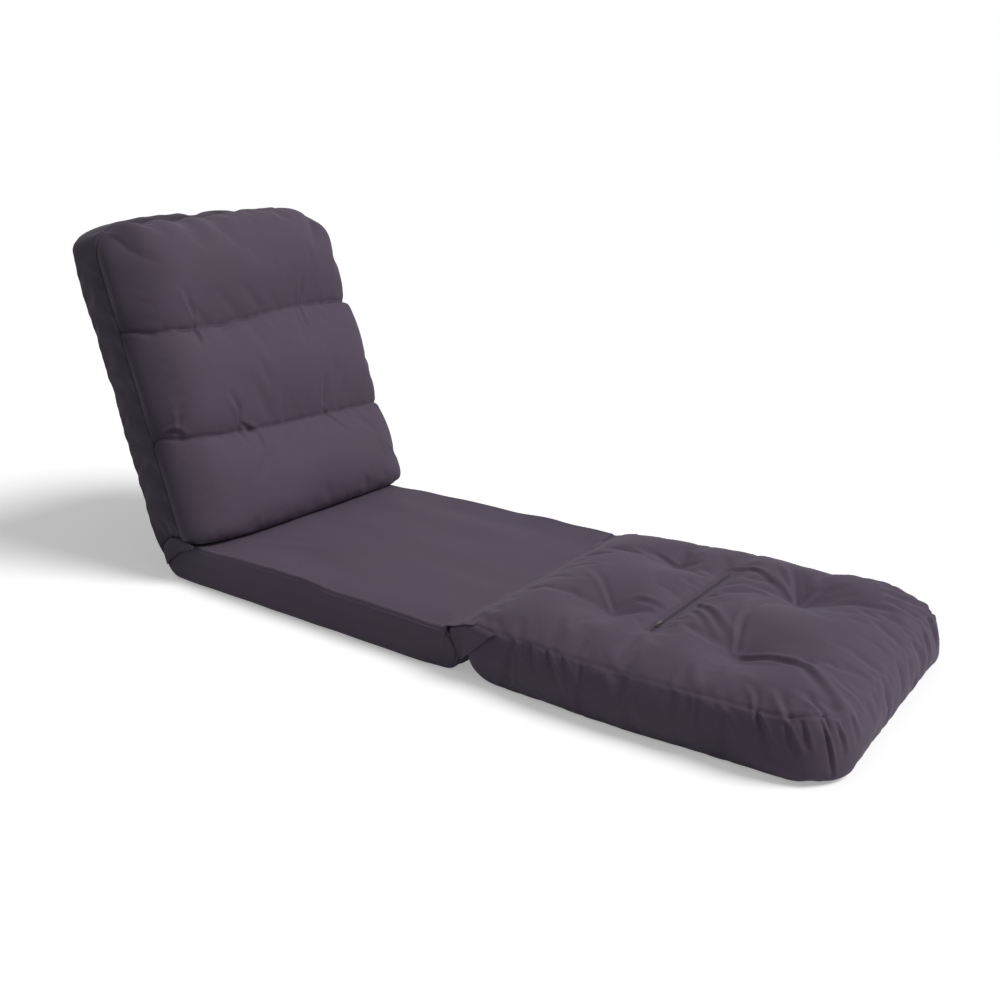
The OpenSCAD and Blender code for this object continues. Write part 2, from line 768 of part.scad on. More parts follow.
// The filling, a flat block with rounded corners
module core_block(e) {
    x = half_w - core_side - e;
    y0 = foot_far_y + core_end + e;
    y1 = foot_near_y - core_end - e;
    r = core_r - e;
    translate([0, 0, core_base + e]) linear_extrude(core_top - core_base - 2*e) union() {
        translate([-x, y0 + r]) square([2*x, y1 - y0 - 2*r]);
        translate([-x + r, y0]) square([2*(x - r), y1 - y0]);
        for (sx = [-1, 1]) for (y = [y0 + r, y1 - r]) translate([sx*(x - r), y]) circle(r = r, $fn = round_steps);
    }
}

module foot_core() {
    color(fibre_colour) core_block(soft_gap);
}

// The flap is sewn round the rolled hem on the fold axis and runs to the top of the foot cushion
module foot_fold_flap() {
    color(cloth_shade_colour) side_plate(2*(half_w - flap_side_gap)) difference() {
        polygon([
            [fold_y - hem_r, fold_z],
            [fold_y - fold_reach, fold_z + flap_rise],
            [fold_y - fold_reach, fold_z + flap_rise - flap_t],
            [fold_y - hem_r, fold_z - flap_t]
        ]);
        translate([fold_y, fold_z]) circle(r = hem_r + soft_gap, $fn = round_steps);
    }
}

module zip_tape() {
    color(nylon_colour) translate([0, zip_y, zip_z]) {
        translate([-zip_l/2, -zip_tape_w/2, 0]) cube([zip_l, zip_tape_w, zip_tape_t]);
        translate([-zip_l/2, -zip_coil_w/2, 0]) cube([zip_l, zip_coil_w, zip_tape_t + zip_coil_t]);
    }
}

// The slider straddles the coil, and its pull lies back along the tape
module zip_slider() {
    x0 = -zip_l/2 + slider_from_end;
    z0 = zip_z + zip_tape_t + face_gap;
    color(zinc_colour) translate([x0, zip_y, z0]) {
        difference() {
            translate([-slider_l/2, -slider_w/2, 0]) cube([slider_l, slider_w, slider_t]);
            translate([-slider_l/2 - cut_over, -zip_coil_w/2 - face_gap, -cut_over])
                cube([slider_l + 2*cut_over, zip_coil_w + 2*face_gap, zip_coil_t + cut_over]);
        }
        translate([-slider_l/2, -pull_w/2, slider_t]) cube([pull_l, pull_w, pull_t]);
    }
}

seat_cover();
seat_foam();
seat_frame();
seat_cross_bars();
seat_base_cloth();
seat_fold_flap();
gear_plate_left();
gear_plate_right();
pivot_rivet_left();
pivot_rivet_right();
seat_frame_rivets();
back_cover();
back_foam();
back_frame();
back_cross_bars();
back_quilt();
back_fill_lower();
back_fill_middle();
back_fill_upper();
hinge_housing_left();
hinge_housing_right();
back_frame_rivets();
pawl_left();
pawl_right();
pawl_spring_left();
pawl_spring_right();
foot_cushion();
foot_core();
foot_fold_flap();
zip_tape();
zip_slider();
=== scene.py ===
# Folding floor chair opened out as a lounger: seat pad, quilted back on ratchet hinges, flip-over cushion.
import json

import bmesh
import bpy
import numpy as np
from mathutils import Matrix, kdtree


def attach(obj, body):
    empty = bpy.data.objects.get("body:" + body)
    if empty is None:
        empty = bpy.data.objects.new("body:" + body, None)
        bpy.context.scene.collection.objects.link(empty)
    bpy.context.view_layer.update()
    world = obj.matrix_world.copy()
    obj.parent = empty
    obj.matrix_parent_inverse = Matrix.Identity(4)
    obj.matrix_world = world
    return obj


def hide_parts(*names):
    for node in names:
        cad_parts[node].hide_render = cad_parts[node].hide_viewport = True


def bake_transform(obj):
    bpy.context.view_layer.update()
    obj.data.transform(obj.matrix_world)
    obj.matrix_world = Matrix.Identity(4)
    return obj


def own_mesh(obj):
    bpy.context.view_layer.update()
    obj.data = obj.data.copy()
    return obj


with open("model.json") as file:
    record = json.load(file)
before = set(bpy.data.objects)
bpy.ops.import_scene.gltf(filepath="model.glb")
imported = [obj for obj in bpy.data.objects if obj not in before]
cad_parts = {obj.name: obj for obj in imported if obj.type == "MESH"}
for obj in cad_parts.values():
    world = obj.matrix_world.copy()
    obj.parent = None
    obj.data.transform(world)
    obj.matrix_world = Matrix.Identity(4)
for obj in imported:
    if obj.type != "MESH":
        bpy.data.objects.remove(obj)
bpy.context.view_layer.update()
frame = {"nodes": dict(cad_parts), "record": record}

# Camera, floor and light. The chair stands on a pale studio floor under one broad soft lamp from the foot
# end, with even light from all round. Floor and sky show white to the camera; the floor keeps the shadow.
camera_place = np.array([-1.5251, -1.3570, 0.8114])
camera_turn, camera_dip = 0.6334, 0.297
ahead = np.array([np.cos(camera_turn) * np.cos(camera_dip), np.sin(camera_turn) * np.cos(camera_dip),
                  -np.sin(camera_dip)])
to_right = np.array([np.sin(camera_turn), -np.cos(camera_turn), 0.0])
upward = np.cross(to_right, ahead)


def set_up(name, data, sideways, upwards, backwards, place=(0, 0, 0)):
    """A lamp or camera in the scene, its three axes along the given directions, at a place."""
    thing = bpy.data.objects.new(name, data)
    stand = np.eye(4)
    stand[:3, 0], stand[:3, 1], stand[:3, 2], stand[:3, 3] = sideways, upwards, backwards, place
    thing.matrix_world = Matrix(stand.tolist())
    bpy.context.scene.collection.objects.link(thing)
    return thing


lens = bpy.data.cameras.new("camera")
lens.lens, lens.sensor_width = 38.69, 36.0
lens.shift_x, lens.shift_y = 0.0056, -0.0139
bpy.context.scene.camera = set_up("camera", lens, to_right, upward, -ahead, camera_place)
bpy.context.scene.view_settings.view_transform = "Standard"


def node_tree(material):
    """Empties a material's node tree and hands back a short way to add a node. A setting that starts with
    in_ is the input of that name or number, which takes a link from another node's output or a value."""
    material.use_nodes = True
    tree = material.node_tree
    tree.nodes.clear()

    def add(kind, **settings):
        node = tree.nodes.new(kind)
        for key, value in settings.items():
            if not key.startswith("in_"):
                setattr(node, key, value)
                continue
            socket = node.inputs[int(key[3:]) if key[3:].isdigit() else key[3:].replace("_", " ")]
            if isinstance(value, bpy.types.NodeSocket):
                tree.links.new(value, socket)
            else:
                socket.default_value = value
        return node

    return add


def seen_ray(add):
    """One for a ray that the camera sees straight on, in a mirror or through glass, and else nought."""
    path = add("ShaderNodeLightPath")
    most = add("ShaderNodeMath", operation="MAXIMUM", in_0=path.outputs["Is Camera Ray"],
               in_1=path.outputs["Is Glossy Ray"])
    return add("ShaderNodeMath", operation="MAXIMUM", in_0=most.outputs[0],
               in_1=path.outputs["Is Transmission Ray"]).outputs[0]


floor_material = bpy.data.materials.new("studio_floor")
add = node_tree(floor_material)
pale = add("ShaderNodeBsdfDiffuse", in_Color=(0.62, 0.62, 0.62, 1))
white = add("ShaderNodeBsdfDiffuse", in_Color=(1, 1, 1, 1))
glow = add("ShaderNodeEmission", in_Color=(1, 1, 1, 1), in_Strength=0.32)
both = add("ShaderNodeAddShader", in_0=white.outputs[0], in_1=glow.outputs[0])
mix = add("ShaderNodeMixShader", in_0=seen_ray(add), in_1=pale.outputs[0], in_2=both.outputs[0])
add("ShaderNodeOutputMaterial", in_Surface=mix.outputs[0])
floor_half = 9.0
floor_mesh = bpy.data.meshes.new("floor")
floor_corners = [(-1, -1), (1, -1), (1, 1), (-1, 1)]
floor_mesh.from_pydata([(x * floor_half, y * floor_half, 0) for x, y in floor_corners], [], [(0, 1, 2, 3)])
floor_mesh.materials.append(floor_material)
floor = bpy.data.objects.new("floor", floor_mesh)
bpy.context.scene.collection.objects.link(floor)

world = bpy.data.worlds.new("studio")
bpy.context.scene.world = world
add = node_tree(world)
even = add("ShaderNodeBackground", in_Color=(1, 1, 1, 1), in_Strength=0.21)
white = add("ShaderNodeBackground", in_Color=(1, 1, 1, 1), in_Strength=1.0)
mix = add("ShaderNodeMixShader", in_0=seen_ray(add), in_1=even.outputs[0], in_2=white.outputs[0])
add("ShaderNodeOutputWorld", in_Surface=mix.outputs[0])

lamp = bpy.data.lights.new("soft_lamp", "SUN")
lamp.energy, lamp.angle = 2.15, 0.45
lamp_from = np.array([0.35, -0.78, 0.98])
lamp_axis = lamp_from / np.linalg.norm(lamp_from)
lamp_side = np.cross([0.0, 0.0, 1.0], lamp_axis)
lamp_side /= np.linalg.norm(lamp_side)
set_up("soft_lamp", lamp, lamp_side, np.cross(lamp_axis, lamp_side), lamp_axis)

# Seat pad: a thin foam pad in a boxed cover of smooth woven polyester. The cover's rear end rolls round the
# hinge line, its sides are sewn to the top along a slightly puckered seam, and the top drags in wrinkles.
mm = 0.001
half_w = 275.0
axis_y, axis_z = 346.0, 39.0
roll_r = 39.0


def make_piece(name, points, quads, uvs, material):
    """Mesh piece from points in millimetres, faces of four point numbers, and each corner's flat place."""
    mesh = bpy.data.meshes.new(name)
    mesh.vertices.add(len(points))
    mesh.vertices.foreach_set("co", (np.asarray(points) * mm).astype(np.float32).ravel())
    mesh.loops.add(quads.size)
    mesh.loops.foreach_set("vertex_index", quads.ravel().astype(np.int32))
    mesh.polygons.add(len(quads))
    mesh.polygons.foreach_set("loop_start", np.arange(0, quads.size, 4, dtype=np.int32))
    mesh.polygons.foreach_set("loop_total", np.full(len(quads), 4, dtype=np.int32))
    layer = mesh.uv_layers.new(name="cloth")
    layer.data.foreach_set("uv", (np.asarray(uvs) * mm).astype(np.float32).ravel())
    mesh.update(calc_edges=True)
    mesh.validate()
    mesh.polygons.foreach_set("use_smooth", np.ones(len(mesh.polygons), dtype=bool))
    mesh.materials.append(material)
    piece = bpy.data.objects.new(name, mesh)
    bpy.context.scene.collection.objects.link(piece)
    return piece


def grid_quads(rows, columns, wrap=False):
    """Quads of a grid of points, numbered row by row. With wrap, the last column joins the first again."""
    i, j = np.meshgrid(np.arange(rows - 1), np.arange(columns if wrap else columns - 1), indexing="ij")
    k = (j + 1) % columns
    return np.stack([i * columns + j, (i + 1) * columns + j, (i + 1) * columns + k, i * columns + k],
                    axis=-1).reshape(-1, 4)


def ripples(places, length, seed):
    """Smooth random waves from about -1 to 1: nine sines of about that length, of random turn and phase."""
    dice = np.random.default_rng(seed)
    flat = np.asarray(places, float).reshape(-1, np.asarray(places).shape[-1])
    total = np.zeros(len(flat))
    count = 9
    for _ in range(count):
        turn = dice.uniform(-np.pi, np.pi)
        way = np.array([np.cos(turn), np.sin(turn)])
        if flat.shape[1] == 3:
            rise = dice.uniform(-1, 1)
            way = np.append(way * np.sqrt(1 - rise * rise), rise)
        total += np.sin(flat @ way * 2 * np.pi / (length * dice.uniform(0.7, 1.5))
                        + dice.uniform(0, 2 * np.pi))
    return (total / np.sqrt(count / 2) / 1.6).reshape(np.asarray(places).shape[:-1])


def two_tone(add, share, low, high):
    """A colour between a low and a high tone, by the share that a pattern gives."""
    return add("ShaderNodeMix", data_type="RGBA", in_0=share, in_6=(*low, 1), in_7=(*high, 1)).outputs[2]


def wear_and_highlight_edges(add, colour, rubbed_and_lit_tone, start, end, most):
    """The colour drawn towards an edge tone where the mesh's pointiness goes from a start to an end: rubbed
    wear on sharp edges, and on cloth a painted highlight with a little rubbed nap on the folds' crests.
    """
    shape = add("ShaderNodeNewGeometry")
    share = add("ShaderNodeMapRange", in_Value=shape.outputs["Pointiness"], in_From_Min=start,
                in_From_Max=end, in_To_Min=0.0, in_To_Max=most)
    return add("ShaderNodeMix", data_type="RGBA", in_0=share.outputs[0], in_6=colour,
               in_7=(*rubbed_and_lit_tone, 1)).outputs[2]


def skin(add, **settings):
    """A material's shader, joined to its output."""
    shader = add("ShaderNodeBsdfPrincipled", **settings)
    add("ShaderNodeOutputMaterial", in_Surface=shader.outputs[0])


def woven_cloth(name, shade, painted_shades=()):
    """Smooth plum-grey woven polyester: a plain weave of fine yarns that follows the cloth, slubs, soft tone
    changes, a lighter tone on the folds' crests that is painted highlight with a little rubbed nap, and a
    faint sheen. The shade darkens or lightens it, and each of the painted shades darkens it again along an
    axis as painted shade: its direction, its start and end, and the tone at the start."""
    material = bpy.data.materials.new(name)
    add = node_tree(material)
    base = np.array([0.0905, 0.0690, 0.1005]) * shade
    yarns_a_metre = 1250
    place = add("ShaderNodeUVMap", uv_map="cloth")
    where = add("ShaderNodeTexCoord").outputs["Object"]
    yarns = add("ShaderNodeMapping", in_Vector=place.outputs["UV"], in_Scale=(yarns_a_metre,) * 3).outputs[0]
    turn = add("ShaderNodeTexChecker", in_Vector=yarns, in_Scale=1.0)
    split = add("ShaderNodeSeparateXYZ", in_0=yarns)
    humps = []
    for axis in (0, 1):
        angle = add("ShaderNodeMath", operation="MULTIPLY", in_0=split.outputs[axis], in_1=np.pi)
        wave = add("ShaderNodeMath", operation="SINE", in_0=angle.outputs[0])
        humps.append(add("ShaderNodeMath", operation="ABSOLUTE", in_0=wave.outputs[0]).outputs[0])
    weave = add("ShaderNodeMix", data_type="FLOAT", in_0=turn.outputs["Fac"], in_2=humps[0], in_3=humps[1])
    slub = add("ShaderNodeTexNoise", in_Vector=where, in_Scale=420.0, in_Detail=3.0, in_Roughness=0.6)
    drift = add("ShaderNodeTexNoise", in_Vector=where, in_Scale=7.0, in_Detail=3.0, in_Roughness=0.5)
    tone = two_tone(add, drift.outputs["Fac"], base * [0.90, 0.92, 0.88], base * [1.10, 1.06, 1.12])
    grain = add("ShaderNodeMix", data_type="FLOAT", in_0=0.5, in_2=slub.outputs["Fac"],
                in_3=weave.outputs[0])
    yarn_tone = add("ShaderNodeMix", data_type="RGBA", blend_type="OVERLAY", in_0=0.22, in_6=tone,
                    in_7=grain.outputs[0])
    # Painted highlight with a little rubbed nap: the colour is lighter where the cloth is pointy, on the
    # folds' crests.
    colour = wear_and_highlight_edges(add, yarn_tone.outputs[2], base * 1.35, 0.51, 0.62, 0.10)
    # Painted shade: each of the painted shades darkens the colour towards its start, down to the tone there.
    for axis, start, end, tone_there in painted_shades:
        reach = add("ShaderNodeVectorMath", operation="DOT_PRODUCT", in_0=where, in_1=axis)
        fall = add("ShaderNodeMapRange", interpolation_type="SMOOTHSTEP", in_Value=reach.outputs["Value"],
                   in_From_Min=start, in_From_Max=end, in_To_Min=1.0, in_To_Max=0.0)
        colour = add("ShaderNodeMix", data_type="RGBA", blend_type="MULTIPLY", in_0=fall.outputs[0],
                     in_6=colour, in_7=(tone_there, tone_there, tone_there, 1)).outputs[2]
    rough = add("ShaderNodeMapRange", in_Value=drift.outputs["Fac"], in_To_Min=0.70, in_To_Max=0.86)
    fine = add("ShaderNodeBump", in_Strength=0.16, in_Distance=0.0002, in_Height=weave.outputs[0])
    lumps = add("ShaderNodeBump", in_Strength=0.10, in_Distance=0.0006, in_Height=slub.outputs["Fac"],
                in_Normal=fine.outputs[0])
    skin(add, in_Base_Color=colour, in_Roughness=rough.outputs[0], in_Normal=lumps.outputs[0],
         in_Specular_IOR_Level=0.22, in_Sheen_Weight=0.10, in_Sheen_Roughness=0.45,
         in_Sheen_Tint=(0.75, 0.68, 0.82, 1))
    return material


cover_cloth = woven_cloth("plum_grey_cloth", 1.0)


def way_along(points):
    """The length of the way from the first of a row of points to each of them."""
    return np.concatenate([[0], np.cumsum(np.linalg.norm(np.diff(points, axis=0), axis=1))])


def along(corners, count):
    """Points spaced evenly along a line through the given corners."""
    corners = np.asarray(corners, float)
    way = way_along(corners)
    at = np.linspace(0, way[-1], count)
    return np.stack([np.interp(at, way, corners[:, a]) for a in range(corners.shape[1])], axis=-1)


def arc(y, z, r, start, end, count=24):
    """Points on an arc about a centre, from one angle to another in degrees."""
    angle = np.radians(np.linspace(start, end, count))
    return np.stack([y + r * np.cos(angle), z + r * np.sin(angle)], axis=-1)


seat_bottom = 1.3
seat_top = 78.0
seat_nose = -334.0
rear_steps, run_steps, nose_steps = 12, 104, 12
roll_mid = (seat_top + seat_bottom) / 2
upper_nose = np.concatenate([[[seat_nose, seat_top]], arc(-340, 72, 6, 88, 35),
                             [[-352, 60], [-360, 48], [-363, 38]]])
lower_nose = np.concatenate([arc(seat_nose, 31.3, 30, 270, 195), [[-363, 38]]])
upper = np.concatenate([
    arc(axis_y, roll_mid, seat_top - roll_mid, 0, 90, rear_steps + 1)[:-1],
    along([[axis_y, seat_top], [seat_nose, seat_top]], run_steps + 1)[:-1],
    along(upper_nose, nose_steps + 1)])
lower = np.concatenate([
    arc(axis_y, roll_mid, roll_mid - seat_bottom, 0, -90, rear_steps + 1)[:-1],
    along([[axis_y, seat_bottom], [seat_nose, seat_bottom]], run_steps + 1)[:-1],
    along(lower_nose, nose_steps + 1)])
profile = np.concatenate([upper, lower[::-1][1:-1]])
middle = np.stack([np.clip(profile[:, 0], seat_nose, axis_y), np.full(len(profile), roll_mid)], axis=-1)
step = np.roll(profile, -1, axis=0) - np.roll(profile, 1, axis=0)
outward = np.stack([-step[:, 1], step[:, 0]], axis=-1)
outward /= np.linalg.norm(outward, axis=1)[:, None]
outward *= np.sign(np.sum(outward * (profile - middle), axis=1))[:, None]

# Across the pad each station has its place, its share of the way down to the side panel's middle line, and
# how far the profile is drawn in there: the side panel, the sewn edge, and the rounded rim of the top.
side_rows = np.linspace(1, 0, 10)[:-1]
edge_in = np.array([0.0, 1.0, 2.2, 4.2, 8.0, 13.0, 20.0, 29.0])
edge_draw = np.array([6.2, 5.6, 1.0, -0.4, -0.1, 0.1, 0.0, 0.0])
side_x = half_w - 3.2 + 3.0 * np.sin(np.pi / 2 * side_rows) ** 0.7
inner_x = np.linspace(half_w - 3.2 - 36, 0, 33)
near_x = np.concatenate([side_x, half_w - 3.2 - edge_in, inner_x])
near_share = np.concatenate([side_rows, np.zeros(len(edge_in) + len(inner_x))])
near_draw = np.concatenate([np.full(len(side_rows), 3.0), edge_draw, np.zeros(len(inner_x))])
station_x = np.concatenate([-near_x, near_x[::-1][1:]])
station_share = np.concatenate([near_share, near_share[::-1][1:]])
station_draw = np.concatenate([near_draw, near_draw[::-1][1:]])


def seat_form():
    """The profile's points moved inwards by each station's draw, pulled to the middle line by its share, and
    lifted by low waves that run along the pad."""
    drawn = profile[None] - outward[None] * station_draw[:, None, None]
    yz = middle[None] + (drawn - middle[None]) * (1 - station_share)[:, None, None]
    x = np.broadcast_to(station_x[:, None], yz.shape[:2]).copy()
    y, z = yz[..., 0], yz[..., 1]
    top = np.clip((z - 60) / 14, 0, 1) * np.clip((axis_y - 20 - y) / 60, 0, 1)
    inside = np.clip((half_w - 6 - np.abs(x)) / 40, 0, 1)
    spot = np.stack([x, y], axis=-1)
    z = z + top * (0.3 + 0.7 * inside) * 0.9 * ripples(spot * [1, 0.22], 95, 5)
    z = z + (top * inside * 2.4 * np.exp(-((x - 150 - 0.10 * (y + 40)) / 34) ** 2)
             * np.exp(-((y - 40) / 230) ** 4))
    z = z - (top * inside * 1.6 * np.exp(-((x - 95 - 0.10 * (y + 40)) / 30) ** 2)
             * np.exp(-((y - 60) / 220) ** 4))
    z = z + top * 1.3 * np.clip((np.abs(x) - 215) / 50, 0, 1) * ripples(spot * [0.1, 1], 120, 8)
    sag = np.interp(y, [-345, -295, -190, -76, -1, 70, 133, 236, 346],
                    [-2, -4, -3, -1.5, 4, 4.5, 3, -1.5, -2])
    z = z + top * sag * np.clip((-x - 190) / 75, 0, 1) ** 2
    z = z + top * 1.6 * np.exp(-((x + 232 - 0.8 * (y + 318)) / 9) ** 2) * np.exp(-((y + 318) / 26) ** 4)
    z = z + top * 1.5 * np.exp(-((x + 175 + 0.42 * (y - 200)) / 13) ** 2) * np.exp(-((y - 190) / 85) ** 4)
    side = np.clip((np.abs(x) - 262) / 8, 0, 1)
    x = x + np.sign(x) * side * 0.9 * ripples(np.stack([y, z * 1.5], axis=-1), 130, 11)
    x = x + np.sign(x) * side * 8.0 * np.clip((46 - z) / 40, 0, 1) * np.clip((y + 350) / 60, 0.2, 1)
    rise = np.interp(y, [-345, -295, -198, -95, 69, 186, 300], [5, 7, 8, 6, 5, 4, 0])
    z = z + top * rise * np.clip((x - 205) / 60, 0, 1) ** 1.3
    return np.stack([x, y, z], axis=-1)


seat_points = seat_form()
stations, ring = seat_points.shape[:2]
seat_quads = grid_quads(stations, ring, wrap=True)
round_way = way_along(np.vstack([profile, profile[:1]]))
across_way = np.concatenate([[0], np.cumsum(np.hypot(np.diff(station_x), 38 * np.diff(station_share)))])
row, column = np.meshgrid(np.arange(stations - 1), np.arange(ring), indexing="ij")
corner_rows = np.stack([row, row + 1, row + 1, row], axis=-1)
corner_columns = np.stack([column, column, column + 1, column + 1], axis=-1)
seat_uvs = np.stack([across_way[corner_rows], round_way[corner_columns]], axis=-1).reshape(-1, 2)
# Painted shade: the seat's cloth is darkened towards its rear end at the hinge, down to 0.70 of its colour.
seat_cloth = woven_cloth("seat_cloth", 1.0, [((0.0, -1.0, 0.0), -0.350, -0.230, 0.70)])
seat_pad = make_piece("seat_pad", seat_points.reshape(-1, 3), seat_quads, seat_uvs, seat_cloth)


def close_seams(piece):
    """Merges the points that lie on each other, and turns every face outwards."""
    touching = 2e-5
    shell = bmesh.new()
    shell.from_mesh(piece.data)
    bmesh.ops.remove_doubles(shell, verts=shell.verts, dist=touching)
    bmesh.ops.recalc_face_normals(shell, faces=shell.faces)
    shell.to_mesh(piece.data)
    shell.free()
    piece.data.update()


def smooth_once(piece):
    """One level of subdivision, the same in the view and the render."""
    finish = piece.modifiers.new("finish", "SUBSURF")
    finish.levels = finish.render_levels = 1


close_seams(seat_pad)
smooth_once(seat_pad)
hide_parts("seat_cover")
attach(seat_pad, "seat")

# Foot cushion: a stuffed box of the same cloth, sewn from a top, a boxing strip with upright corner seams
# and a sole. Five ties pull the top down like the dots of a die, and the middle one sits on the zip.
zip_y, zip_level = -646.0, 104.6


def pillow_grid(rows_u, rows_v, rings):
    """A sewn cushion as one closed net: a face grid over shares u and v from -1 to 1, rings round its side,
    and a base grid that shares the last ring. Gives each point's u, v and ring share from 0 to 1, the quads,
    and each corner's flat place by patch: 0 face, 1 side, 2 base."""
    nu, nv = len(rows_u) - 1, len(rows_v) - 1
    fu, fv = np.meshgrid(rows_u, rows_v, indexing="ij")
    face = np.arange((nu + 1) * (nv + 1)).reshape(nu + 1, nv + 1)
    rim = np.concatenate([face[:-1, 0], face[-1, :-1], face[:0:-1, -1], face[0, :0:-1]])
    edge = len(rim)
    side = np.vstack([rim, face.size + np.arange((rings - 1) * edge).reshape(rings - 1, edge)])
    start = face.size + (rings - 1) * edge
    base = np.full((nu + 1, nv + 1), -1)
    last = start + np.arange(edge)
    base.ravel()[rim] = last
    inner = base < 0
    base[inner] = start + edge + np.arange(inner.sum())
    side = np.vstack([side, last])
    u = np.concatenate([fu.ravel(), np.tile(fu.ravel()[rim], rings), fu[inner]])
    v = np.concatenate([fv.ravel(), np.tile(fv.ravel()[rim], rings), fv[inner]])
    ring = np.concatenate([np.zeros(face.size), np.repeat(np.arange(1, rings + 1) / rings, edge),
                           np.full(inner.sum(), 1.0)])
    flat = np.concatenate([np.zeros(face.size, int), np.ones(rings * edge, int), np.full(inner.sum(), 2)])

    def cells(net):
        return np.stack([net[:-1, :-1], net[1:, :-1], net[1:, 1:], net[:-1, 1:]], axis=-1).reshape(-1, 4)

    looped = np.hstack([side, side[:, :1]])
    quads = np.vstack([cells(face), cells(looped), cells(base)[:, ::-1]])
    patch = np.concatenate([np.zeros(nu * nv, int), np.ones(rings * edge, int), np.full(nu * nv, 2)])
    return {"u": u, "v": v, "ring": ring, "flat": flat, "quads": quads, "patch": patch, "side": side}


def cloth_places(net, points, up):
    """The flat place of each corner: the face and base lie as seen along the up axis, and the side strip is
    laid out by its length round the cushion and its height."""
    a, b = [k for k in range(3) if k != up]
    plan = points[:, [a, b]]
    side = net["side"]
    looped = np.hstack([side, side[:, :1]])
    around, down = way_along(points[looped[0]]), way_along(points[looped[:, 0]])
    i, j = np.meshgrid(np.arange(looped.shape[0] - 1), np.arange(looped.shape[1] - 1), indexing="ij")
    corner_i, corner_j = np.stack([i, i + 1, i + 1, i], -1), np.stack([j, j, j + 1, j + 1], -1)
    strip = np.stack([around[corner_j], down[corner_i]], -1).reshape(-1, 4, 2)
    places = plan[net["quads"]]
    places[net["patch"] == 1] = strip
    return places.reshape(-1, 2)


def round_corners(x, y, a, b, r):
    """Moves the corners of a rectangle of half sides a and b, with their cells, onto arcs of radius r."""
    dx, dy = np.abs(x) - (a - r), np.abs(y) - (b - r)
    inside = (dx > 0) & (dy > 0)
    far, way = np.maximum(dx, dy), np.hypot(dx, dy)
    k = np.where(inside, far / np.where(inside, way, 1), 1)
    return (np.where(inside, np.sign(x) * (a - r + dx * k), x),
            np.where(inside, np.sign(y) * (b - r + dy * k), y))


def inflate(piece, held, pressure, spare, most, bend):
    """Swells a sewn cover with Blender's cloth and keeps the result in the mesh. Held is each point's pin
    weight, spare how much larger the cloth is cut than the form, and most how far a point may go."""
    frames, stiff = 18, 12
    group = piece.vertex_groups.new(name="held")
    steps = np.round(held, 1)
    for weight in np.unique(steps[steps > 0]):
        group.add(np.flatnonzero(steps == weight).tolist(), float(weight), "REPLACE")
    cloth = piece.modifiers.new("swell", "CLOTH")
    fabric = cloth.settings
    fabric.quality, fabric.mass = 5, 0.3
    fabric.tension_stiffness = fabric.compression_stiffness = stiff
    fabric.shear_stiffness, fabric.bending_stiffness = stiff / 2, bend
    fabric.use_pressure, fabric.uniform_pressure_force = True, pressure
    fabric.shrink_min = -spare
    fabric.vertex_group_mass = "held"
    fabric.effector_weights.gravity = 0
    cloth.collision_settings.use_collision = False
    cloth.collision_settings.use_self_collision = False
    cloth.point_cache.frame_start, cloth.point_cache.frame_end = 1, frames
    for moment in range(1, frames + 1):
        bpy.context.scene.frame_set(moment)
    swollen = piece.evaluated_get(bpy.context.evaluated_depsgraph_get()).to_mesh()
    count = len(piece.data.vertices)
    before, after = np.empty(count * 3, np.float32), np.empty(count * 3, np.float32)
    piece.data.vertices.foreach_get("co", before)
    swollen.vertices.foreach_get("co", after)
    piece.modifiers.remove(cloth)
    piece.vertex_groups.remove(group)
    bpy.context.scene.frame_set(1)
    move = (after - before).reshape(-1, 3)
    far = np.linalg.norm(move, axis=1)[:, None]
    move *= np.minimum(1, most * mm / np.maximum(far, 1e-9))
    piece.data.vertices.foreach_set("co", (before.reshape(-1, 3) + move).ravel())
    piece.data.update()


def refine(piece):
    """Applies one subdivision, so that finer folds can be laid into the mesh."""
    finish = piece.modifiers.new("finish", "SUBSURF")
    finish.levels = finish.render_levels = 1
    fine = bpy.data.meshes.new_from_object(piece.evaluated_get(bpy.context.evaluated_depsgraph_get()))
    piece.modifiers.clear()
    rough, name = piece.data, piece.data.name
    piece.data = fine
    bpy.data.meshes.remove(rough)
    fine.name = name
    fine.polygons.foreach_set("use_smooth", np.ones(len(fine.polygons), dtype=bool))


def read_points(piece):
    """Points and normals of a mesh, in millimetres."""
    count = len(piece.data.vertices)
    points, normals = np.empty(count * 3, np.float32), np.empty(count * 3, np.float32)
    piece.data.vertices.foreach_get("co", points)
    piece.data.vertex_normals.foreach_get("vector", normals)
    return points.reshape(-1, 3).astype(float) / mm, normals.reshape(-1, 3).astype(float)


def write_points(piece, points):
    """Puts points in millimetres back into a mesh."""
    piece.data.vertices.foreach_set("co", (points * mm).astype(np.float32).ravel())
    piece.data.update()


def fold_lines(spots, lines):
    """Depth of pinched folds at flat spots. A line is its points, its width, its depth and its ridge's
    height: the cloth dips along the line and stands up on its left, and both fade towards the line's end."""
    total = np.zeros(len(spots))
    for points, width, depth, ridge in lines:
        corners = along(points, 14)
        a, b = corners[:-1], corners[1:]
        way = b - a
        length = np.linalg.norm(way, axis=1)
        rel = spots[:, None] - a[None]
        t = np.clip(np.sum(rel * way, axis=2) / length ** 2, 0, 1)
        off = rel - way * t[..., None]
        gap = np.linalg.norm(off, axis=2)
        near = np.argmin(gap, axis=1)
        pick = np.arange(len(spots))
        side = np.sign(way[near, 0] * off[pick, near, 1] - way[near, 1] * off[pick, near, 0])
        s = gap[pick, near] * np.where(side == 0, 1, side)
        share = (near + t[pick, near]) / len(a)
        fade = np.sin(np.pi * np.clip(0.08 + 0.92 * share, 0, 1)) ** 0.5 * (1 - 0.55 * share)
        wide = width * (0.55 + 0.9 * share)
        total += fade * (ridge * np.exp(-((s - 1.35 * wide) / (0.9 * wide)) ** 2)
                         - depth * np.exp(-(s / wide) ** 2))
    return total


